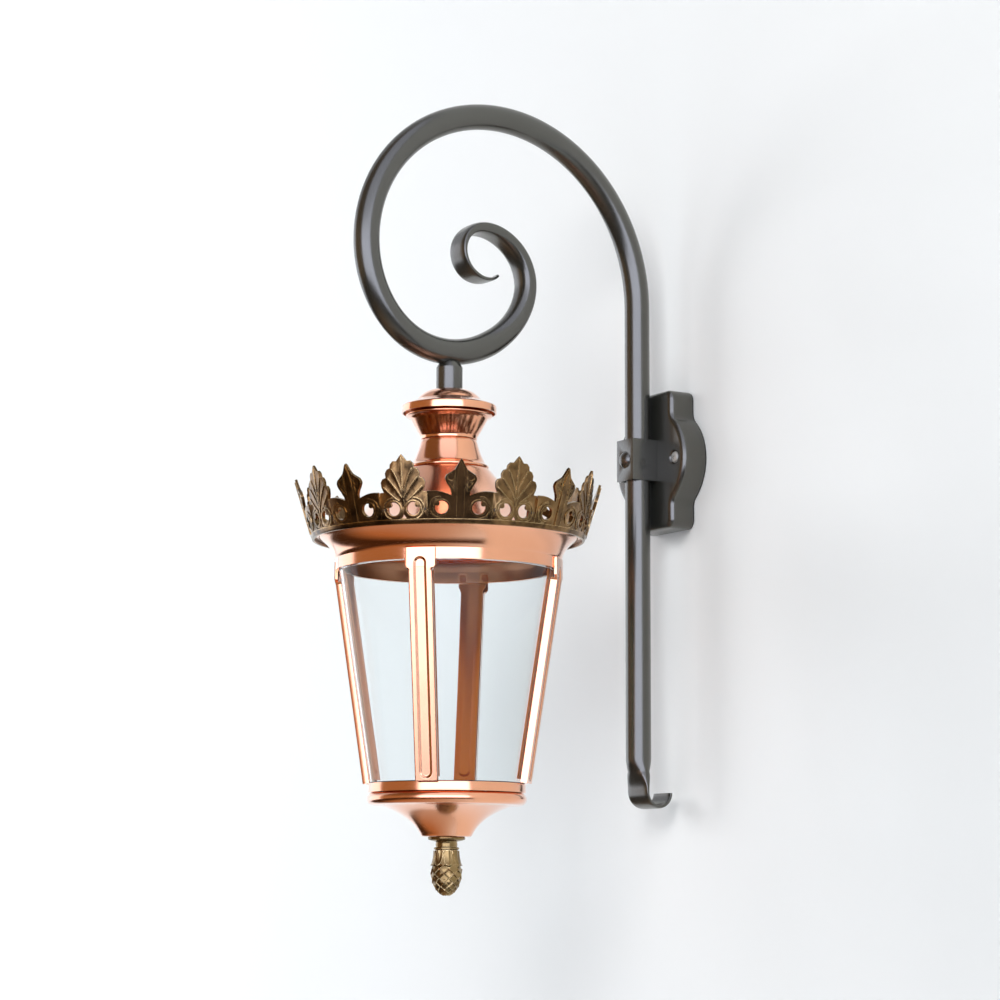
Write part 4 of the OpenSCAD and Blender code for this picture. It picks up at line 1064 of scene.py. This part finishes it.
@dataclass
class PressedUpright:
    """One folded upright: a head plate over a leaning strip, with a pressed groove.

    Sizes are in millimetres; heights count down from the head's top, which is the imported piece's.
    """

    palette: Palette
    node: str
    turn: float
    head_r: float = 107.25
    strip_r: float = 107.422
    lean: float = 8.573
    head_w: float = 28.6
    head_h: float = 16.6
    knee: float = 17.6
    strip_w: float = 21.7
    strip_w_low: float = 20.5
    strip_l: float = 193.5
    thick: float = 1.5
    fold: float = 6.35
    groove_w: float = 11.8
    groove_d: float = 1.2
    slope: float = 1.9
    groove_top: float = 14.2
    groove_low: float = 185.7
    ends: float = 30.0
    low_end: float = 200.0
    fine: float = 0.5
    coarse: float = 4.0
    pressed: float = 7.2
    pitch: float = 0.3

    def half_width(self, down: float) -> float:
        """Gives half the sheet's width at a distance down from the top."""
        step = (self.head_w - self.strip_w) / 2
        narrow = self.strip_w / 2 + (self.strip_w_low - self.strip_w) / 2 * max(
            0.0, (down - self.knee) / self.strip_l)
        share = min(1.0, max(0.0, (down - self.head_h) / (step * 1.3)))
        return self.head_w / 2 + (narrow - self.head_w / 2) * share

    def place(self, u: float, down: float, out: float) -> Place:
        """Turns a point of the sheet into radius, tangent and depth below the top."""
        lean = math.radians(self.lean)
        if down <= self.knee:
            return self.head_r + out, u, -down
        along = down - self.knee
        return (self.strip_r - along * math.sin(lean) + out * math.cos(lean), u,
                -self.knee - along * math.cos(lean) - out * math.sin(lean))

    def press(self, u: float, down: float) -> tuple[float, float]:
        """Gives the groove's depth and how much painted shade lies along its edges at a point of
        the face.
        """
        low = self.knee + self.groove_low
        gap = max(self.groove_top - down, down - low, 0.0)
        away = math.hypot(u, gap) - self.groove_w / 2
        depth = self.groove_d * min(1.0, max(0.0, -away / self.slope))
        # Painted shade: narrow bands at the top and foot of the groove's slope, darkened in the
        # material.
        painted_crease_shade = sum(math.exp(-((away - at) / 0.3) ** 2) for at in (-0.1, 0.1 - self.slope))
        return depth, min(1.0, painted_crease_shade)

    def build(self) -> None:
        """Makes the sheet as one closed mesh, with the painted shade along its groove edges as an
        attribute.
        """
        low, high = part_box(self.node)
        top = high.z
        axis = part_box("base_bowl")
        centre = ((axis[0].x + axis[1].x) / 2, (axis[0].y + axis[1].y) / 2)
        length = self.knee + self.strip_l
        spans = ((0, self.ends, self.fine), (self.ends, self.low_end, self.coarse),
                 (self.low_end, length, self.fine))
        downs = sorted({round(length, 3), *(v for span in spans
                                            for v in np.round(np.arange(*span), 3))})
        inner = np.arange(-self.pressed, self.pressed + 0.01, self.pitch)
        turn = math.radians(self.turn)
        out_x, out_y = math.cos(turn), math.sin(turn)
        points, groove_shade_levels = [], []
        for down in downs:
            half = self.half_width(down)
            leg = self.thick if down < self.knee + 1.5 else self.fold
            row = [(-half, -leg, 0.0), (-half, -0.5, 0.0), (-half + 0.15, -0.13, 0.0)]
            outer = [-half + 0.5 + (half - 7.7) * share for share in (0.0, 0.5)]
            for u in (*outer, *inner, *(-v for v in reversed(outer))):
                depth, painted_crease_shade = self.press(u, down)
                row.append((u, -depth, painted_crease_shade))
            row += [(half - 0.15, -0.13, 0.0), (half, -0.5, 0.0), (half, -leg, 0.0)]
            row += [(half - self.thick, -leg, 0.0)]
            row += [(half - self.thick, -self.thick - self.groove_d, 0.0),
                    (-half + self.thick, -self.thick - self.groove_d, 0.0)]
            row += [(-half + self.thick, -leg, 0.0)]
            for u, out, painted_crease_shade in row:
                r, t, z = self.place(u, down, out)
                points.append((centre[0] + (r * out_x - t * out_y) * MM,
                               centre[1] + (r * out_y + t * out_x) * MM, top + z * MM))
                groove_shade_levels.append(painted_crease_shade)
        piece = mesh_piece(f"{self.node}_pressed", points,
                           skin(len(downs), len(points) // len(downs)),
                           self.palette.sheet_copper)
        # The attribute carries the painted shade along the groove edges.
        values = piece.data.attributes.new("painted_crease_shade", "FLOAT", "POINT")
        values.data.foreach_set("value", groove_shade_levels)
        settle(piece.data, 0.6)
        finish_piece(piece, "copper", self.node)


@dataclass
class LightBody:
    """The glass with its uprights, bars and the copper base under them."""

    palette: Palette
    corners: int = 4

    def build(self) -> None:
        """Dresses the panes, uprights and base."""
        for number, node in enumerate(named("upright", self.corners)):
            PressedUpright(self.palette, node, number * 360 / self.corners - 45).build()
        for node in named("glazing_bar", self.corners):
            smooth_copy(node, self.palette.inner_copper, "copper", 0.3, angle=30)
        for node in named("glass_pane", self.corners):
            smooth_copy(node, self.palette.glass, "glass", 0.0, angle=30)
        smooth_copy("base_band", self.palette.spun_copper, "copper", 0.3, angle=40)
        smooth_copy("base_bowl", self.palette.soft_copper, "copper", 0.3, angle=40)
        dress(["upright_rivets"], self.palette.sheet_copper)
        dress(["glass_seat"], self.palette.rubber)
        dress(["base_screws"], self.palette.steel)


@dataclass
class Finial:
    """The scaly cone under the base, with its flange, leafy cup, stud and nut.

    Sizes are in millimetres.
    """

    palette: Palette
    copies: Copies
    flange_r: float = 17.4
    neck_r: float = 10.5
    cup_r: float = 14.2
    cup_top: float = 12.7
    cup_low: float = 27.2
    pine_r: float = 13.6
    pine_h: float = 27.2
    scales: int = 9
    scale_w: float = 10.0
    scale_h: float = 9.4
    petals: int = 8
    petal_l: float = 14.2

    def pine_radius(self, share: float) -> float:
        """Gives the cone's radius at a share of its length from the top."""
        return self.pine_r * max(0.0, 1 - share ** 2.4) ** 0.62 + 1.0 * share

    def core(self, top: float, centre: Point) -> None:
        """Makes the turned flange, neck and cup and the cone's core.

        Args:
            top: Height of the flange's upper face in metres.
            centre: X and Y of the axis in metres.
        """
        n = self.neck_r
        curve = [(1 - t) ** 2 * n + 2 * t * (1 - t) * (self.cup_r - 2.4) + t * t * self.cup_r
                 for t in np.linspace(0, 1, 10)]
        drop = np.linspace(self.cup_top, self.cup_low - 1.5, 10)
        outline = [(self.flange_r - 1.0, 0.0), (self.flange_r - 0.3, 0.3), (self.flange_r, 1.0),
                   (self.flange_r, 2.3), (self.flange_r - 0.5, 2.9), (n + 1.6, 4.1),
                   (n - 0.2, 4.5), (n - 0.6, 5.2), (n - 0.3, 7.4), (n - 0.6, 9.4), (n + 0.9, 9.9),
                   (n + 1.3, 10.3), (n + 1.3, 11.3), (n + 0.9, 11.7), (n, 12.2),
                   *zip(curve, drop)]
        shares = np.linspace(0.02, 0.985, 26)
        outline += [(self.pine_radius(t) - 0.7, self.cup_low + self.pine_h * t) for t in shares]
        points, faces = lathe([(r * MM, top - d * MM) for r, d in outline], centre)
        piece = mesh_piece("finial_core", points, faces, self.palette.finial)
        settle(piece.data, 0.7)
        finish_piece(piece, "finial_brass", "finial")

    def scale_shape(self) -> Mesh:
        """Makes one scale: a diamond that rises to its lower point and has a raised rim."""
        def surface(a: float, b: float) -> Place:
            """Gives a point of the diamond for its two sides' shares."""
            down = (a + b) / 2
            rim = 0.6 * max(0.0, (max(a, b) - 0.82) / 0.18) ** 1.2
            swell = 0.55 * math.sin(math.pi * a) * math.sin(math.pi * b)
            out = -0.9 + 1.5 * down ** 1.3 + swell + rim
            return ((a - b) * self.scale_w / 2 * MM, out * MM,
                    (1 - a - b) * self.scale_h / 2 * MM)
        return sheet(surface, 10, 10, 0.8 * MM)

    def petal_shape(self) -> Mesh:
        """Makes one petal of the cup: a ribbed leaf whose point flares out."""
        def surface(a: float, b: float) -> Place:
            """Gives a point of the petal, a down its length and b across."""
            across = 2 * b - 1
            half = 5.0 * max(0.0, 1 - a ** 3.2) ** 0.55 * (0.62 + 0.38 * a ** 0.5)
            rib = 0.55 * math.exp(-(across / 0.22) ** 2) + 0.3 * math.exp(
                -((abs(across) - 0.85) / 0.14) ** 2)
            bow = 0.9 * across * across * (1 - 0.5 * a)
            out = -0.4 + 2.6 * a ** 2.6 - bow + rib * (1 - a * a)
            return (across * half * MM, out * MM, -a * self.petal_l * MM)
        return sheet(surface, 14, 12, 0.7 * MM)

    def build(self) -> None:
        """Makes the cone with its scales and petals and dresses its fixing."""
        low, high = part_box("finial")
        centre, top = ((low.x + high.x) / 2, (low.y + high.y) / 2), high.z
        self.core(top, centre)
        stands, share, row = [], 0.1, 0
        while share < 0.97:
            here, after = self.pine_radius(share), self.pine_radius(min(1.0, share + 0.02))
            slope = math.atan2(here - after, self.pine_h * 0.02)
            size = max(0.34, here / self.pine_r)
            for number in range(self.scales):
                angle = 2 * math.pi * (number + 0.5 * (row % 2)) / self.scales
                stands.append(Stand.round_axis(
                    centre, here, angle, top - (self.cup_low + self.pine_h * share) * MM,
                    -slope, size))
            share += 0.152 * size * max(0.35, math.cos(slope))
            row += 1
        self.copies.make("finial_scales", self.scale_shape(), stands, self.palette.finial,
                         "finial_brass", "finial")
        stands = []
        for tier, (radius, drop, size) in enumerate(((11.4, 13.2, 0.97), (12.0, 12.8, 1.0))):
            for number in range(self.petals):
                angle = 2 * math.pi * (number + 0.5 * tier) / self.petals
                stands.append(Stand.round_axis(centre, radius, angle, top - drop * MM, 0.06,
                                               size))
        self.copies.make("finial_petals", self.petal_shape(), stands, self.palette.finial,
                         "finial_brass", "finial")
        dress(["finial_stud", "finial_nut"], self.palette.steel)


@dataclass
class LampUnit:
    """The light source on its plate, up in the roof."""

    palette: Palette

    def build(self) -> None:
        """Dresses the lamp's pieces."""
        dress(["gear_plate", "gear_screws"], self.palette.steel)
        dress(["led_board", "led_driver"], self.palette.plastic)
        dress(["led_lens"], self.palette.opal)


@dataclass
class Studio:
    """The camera, the pale wall and floor, the lamps and the surroundings.

    Lengths are in metres and angles in degrees.
    """

    camera_at: Place = (2.225, -1.598, -0.4305)
    heading: float = 57.9
    pitch: float = 8.213
    roll: float = 0.207
    lens: float = 100.0
    wall_half: float = 8.0
    wall_top: float = 5.0
    wall_gap: float = 0.0004
    floor_z: float = -1.3
    room_level: float = 0.405
    box_level: float = 4.8
    wall_glow: float = 0.08

    def camera(self) -> None:
        """Makes the camera at the photograph's place."""
        data = bpy.data.cameras.new("Camera")
        data.lens = self.lens
        data.sensor_width = 36.0
        data.clip_start, data.clip_end = 0.05, 60.0
        camera = place_object("Camera", data)
        a, e, t = (math.radians(v) for v in (self.heading, self.pitch, self.roll))
        ahead = Vector((-math.sin(a) * math.cos(e), math.cos(a) * math.cos(e), math.sin(e)))
        right = Vector((math.cos(a), math.sin(a), 0.0))
        up = right.cross(ahead)
        side = right * math.cos(t) + up * math.sin(t)
        top = up * math.cos(t) - right * math.sin(t)
        turn = Matrix((side, top, -ahead)).transposed()
        camera.matrix_world = Matrix.Translation(self.camera_at) @ turn.to_4x4()
        bpy.context.scene.camera = camera

    def backdrop(self) -> None:
        """Makes the wall and the floor."""
        half, low, high, gap = self.wall_half, self.floor_z, self.wall_top, self.wall_gap
        material, w = new_material("Pale wall")
        shader = w.add("ShaderNodeBsdfPrincipled", {
            "Base Color": (0.93, 0.945, 0.96), "Roughness": 0.9,
            "Specular IOR Level": 0.1, "Emission Color": (0.95, 0.98, 1.0)})
        path = w.add("ShaderNodeLightPath")
        mirrored = w.math("MULTIPLY", path.outputs["Is Glossy Ray"],
                          w.math("SUBTRACT", 1.0, path.outputs["Is Transmission Ray"]))
        w.put(shader, "Emission Strength", w.math("MULTIPLY", mirrored, self.wall_glow))
        behind = w.add("ShaderNodeNewGeometry").outputs["Backfacing"]
        clear = w.add("ShaderNodeBsdfTransparent")
        one_sided = w.add("ShaderNodeMixShader", {0: behind, 1: shader,
                                                  2: clear})
        w.add("ShaderNodeOutputMaterial", {0: one_sided})
        wall = mesh_piece("studio_wall", [(-half, gap, low), (half, gap, low), (half, gap, high),
                                          (-half, gap, high)], [(0, 1, 2, 3)], material)
        floor = mesh_piece("studio_floor", [(-half, -half, low), (half, -half, low),
                                            (half, gap, low), (-half, gap, low)],
                           [(0, 1, 2, 3)], material)
        floor.visible_glossy = False

    def lamp(self, name: str, place: Place, size: float, power: float,
             colour: Colour = (1.0, 1.0, 1.0),
             aim: Place = (0.0, -0.26, -0.1)) -> None:
        """Makes a square soft lamp that points at the lantern and shows in no reflection.

        Args:
            name: Its name.
            place: Where it stands.
            size: Its side.
            power: Its power in watts.
            colour: The colour of its light.
            aim: The point it is turned to.
        """
        data = bpy.data.lights.new(name, "AREA")
        data.size = size
        data.energy = power
        data.color = colour
        lamp = place_object(name, data)
        lamp.location = place
        lamp.rotation_mode = "QUATERNION"
        ahead = Vector(aim) - Vector(place)
        lamp.rotation_quaternion = ahead.to_track_quat("-Z", "Y")
        lamp.visible_glossy = False
        lamp.visible_transmission = False

    def surroundings(self) -> None:
        """Fills the world: plain light for the object, and a studio's bright and dark sides for
        its reflections."""
        world = bpy.data.worlds.new("Studio")
        bpy.context.scene.world = world
        world.use_nodes = True
        w = Wiring(world.node_tree)
        world.node_tree.nodes.clear()
        direction = w.add("ShaderNodeTexCoord").outputs["Generated"]
        xyz = w.add("ShaderNodeSeparateXYZ", {0: direction})
        around = w.math("DIVIDE", w.math("ARCTAN2", xyz.outputs[1], xyz.outputs[0]), 2 * math.pi)
        share = w.math("ADD", around, 0.5)

        def at(angle: float) -> float:
            """Turns a world angle in degrees into a place on the ramp."""
            return (angle + 180.0) / 360.0

        dark, soft, box = (0.09, 0.055, 0.026), (0.30, 0.32, 0.35), (0.73, 0.78, 0.98)
        ring = w.colour_ramp(share, [
            (at(-180), soft), (at(-151), (0.4, 0.42, 0.47)), (at(-146), (0.42, 0.44, 0.5)),
            (at(-141), dark), (at(-76), dark), (at(-70), box), (at(6), box),
            (at(26), (0.42, 0.45, 0.5)), (at(44), (0.19, 0.19, 0.195)),
            (at(90), (0.17, 0.168, 0.168)), (at(179), soft)])
        up = w.add("ShaderNodeMapRange", {0: xyz.outputs[2], 1: -1.0, 2: 1.0})
        height = w.ramp(up.outputs[0], [
            (0.0, 0.0), (0.365, 0.0), (0.405, 1.0), (0.63, 1.0), (0.7, 0.45), (0.86, 0.38),
            (1.0, 0.3)])
        across = w.math("ADD", w.math("MULTIPLY", xyz.outputs[0], 0.53),
                        w.math("MULTIPLY", xyz.outputs[1], 0.85))
        side = w.add("ShaderNodeMapRange", {0: across, 1: -0.6, 2: 0.6})
        ground = w.colour_ramp(side.outputs[0], [
            (0.0, (0.10, 0.055, 0.025)), (0.5, (0.13, 0.12, 0.11)), (1.0, (0.2, 0.25, 0.3))])
        shade = w.ramp(up.outputs[0], [(0.12, 0.0), (0.24, 1.0)])
        below = w.mix(shade, ground, (0.012, 0.006, 0.0025))
        ring = w.mix(height, below, ring)
        path = w.add("ShaderNodeLightPath")
        glossy = w.add("ShaderNodeBackground", {0: ring, 1: self.box_level})
        plain = w.add("ShaderNodeBackground", {0: (0.96, 0.985, 1.0), 1: self.room_level})
        white = w.add("ShaderNodeBackground", {0: (1.0, 1.0, 1.0), 1: 1.0})
        inner = w.add("ShaderNodeBackground", {0: (0.66, 0.53, 0.32), 1: 1.0})
        through = path.outputs["Is Transmission Ray"]
        mirrored = w.math("GREATER_THAN", path.outputs["Glossy Depth"], 0.5)
        reflected = w.add("ShaderNodeMixShader", {0: through, 1: glossy,
                                                  2: inner})
        lit = w.add("ShaderNodeMixShader", {
            0: w.math("MAXIMUM", path.outputs["Is Glossy Ray"],
                      w.math("MULTIPLY", through, mirrored)),
            1: plain, 2: reflected})
        seen = w.math("MAXIMUM", path.outputs["Is Camera Ray"],
                      w.math("MULTIPLY", through, w.math("SUBTRACT", 1.0, mirrored)))
        out = w.add("ShaderNodeMixShader", {0: seen, 1: lit, 2: white})
        w.add("ShaderNodeOutputWorld", {0: out})
        # The surroundings differ for mirror rays, so they are not sampled as a lamp.
        world.cycles.sampling_method = "NONE"

    def build(self) -> None:
        """Makes the whole studio and sets the plain view."""
        scene = bpy.context.scene
        scene.view_settings.view_transform = "Standard"
        self.camera()
        self.backdrop()
        self.lamp("Key", (1.75, -2.35, 1.25), 1.3, 39.0, (1.0, 0.985, 0.96))
        self.lamp("Left", (-1.6, -2.5, 0.8), 1.5, 8.0)
        self.lamp("Wash", (-2.9, -1.6, 0.6), 1.2, 40.0, aim=(-2.1, 0.0, 0.0))
        self.surroundings()


def main() -> None:
    """Builds the studio and every sub-assembly."""
    logging.basicConfig(level=logging.INFO, format="%(name)s: %(message)s")
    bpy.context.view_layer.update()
    Studio().build()
    palette, copies = Palette(), Copies()
    for assembly in (ScrollBracket(palette), LanternTop(palette), Crown(palette, copies),
                     LightBody(palette), Finial(palette, copies), LampUnit(palette)):
        assembly.build()


if __name__ == "__main__":
    main()
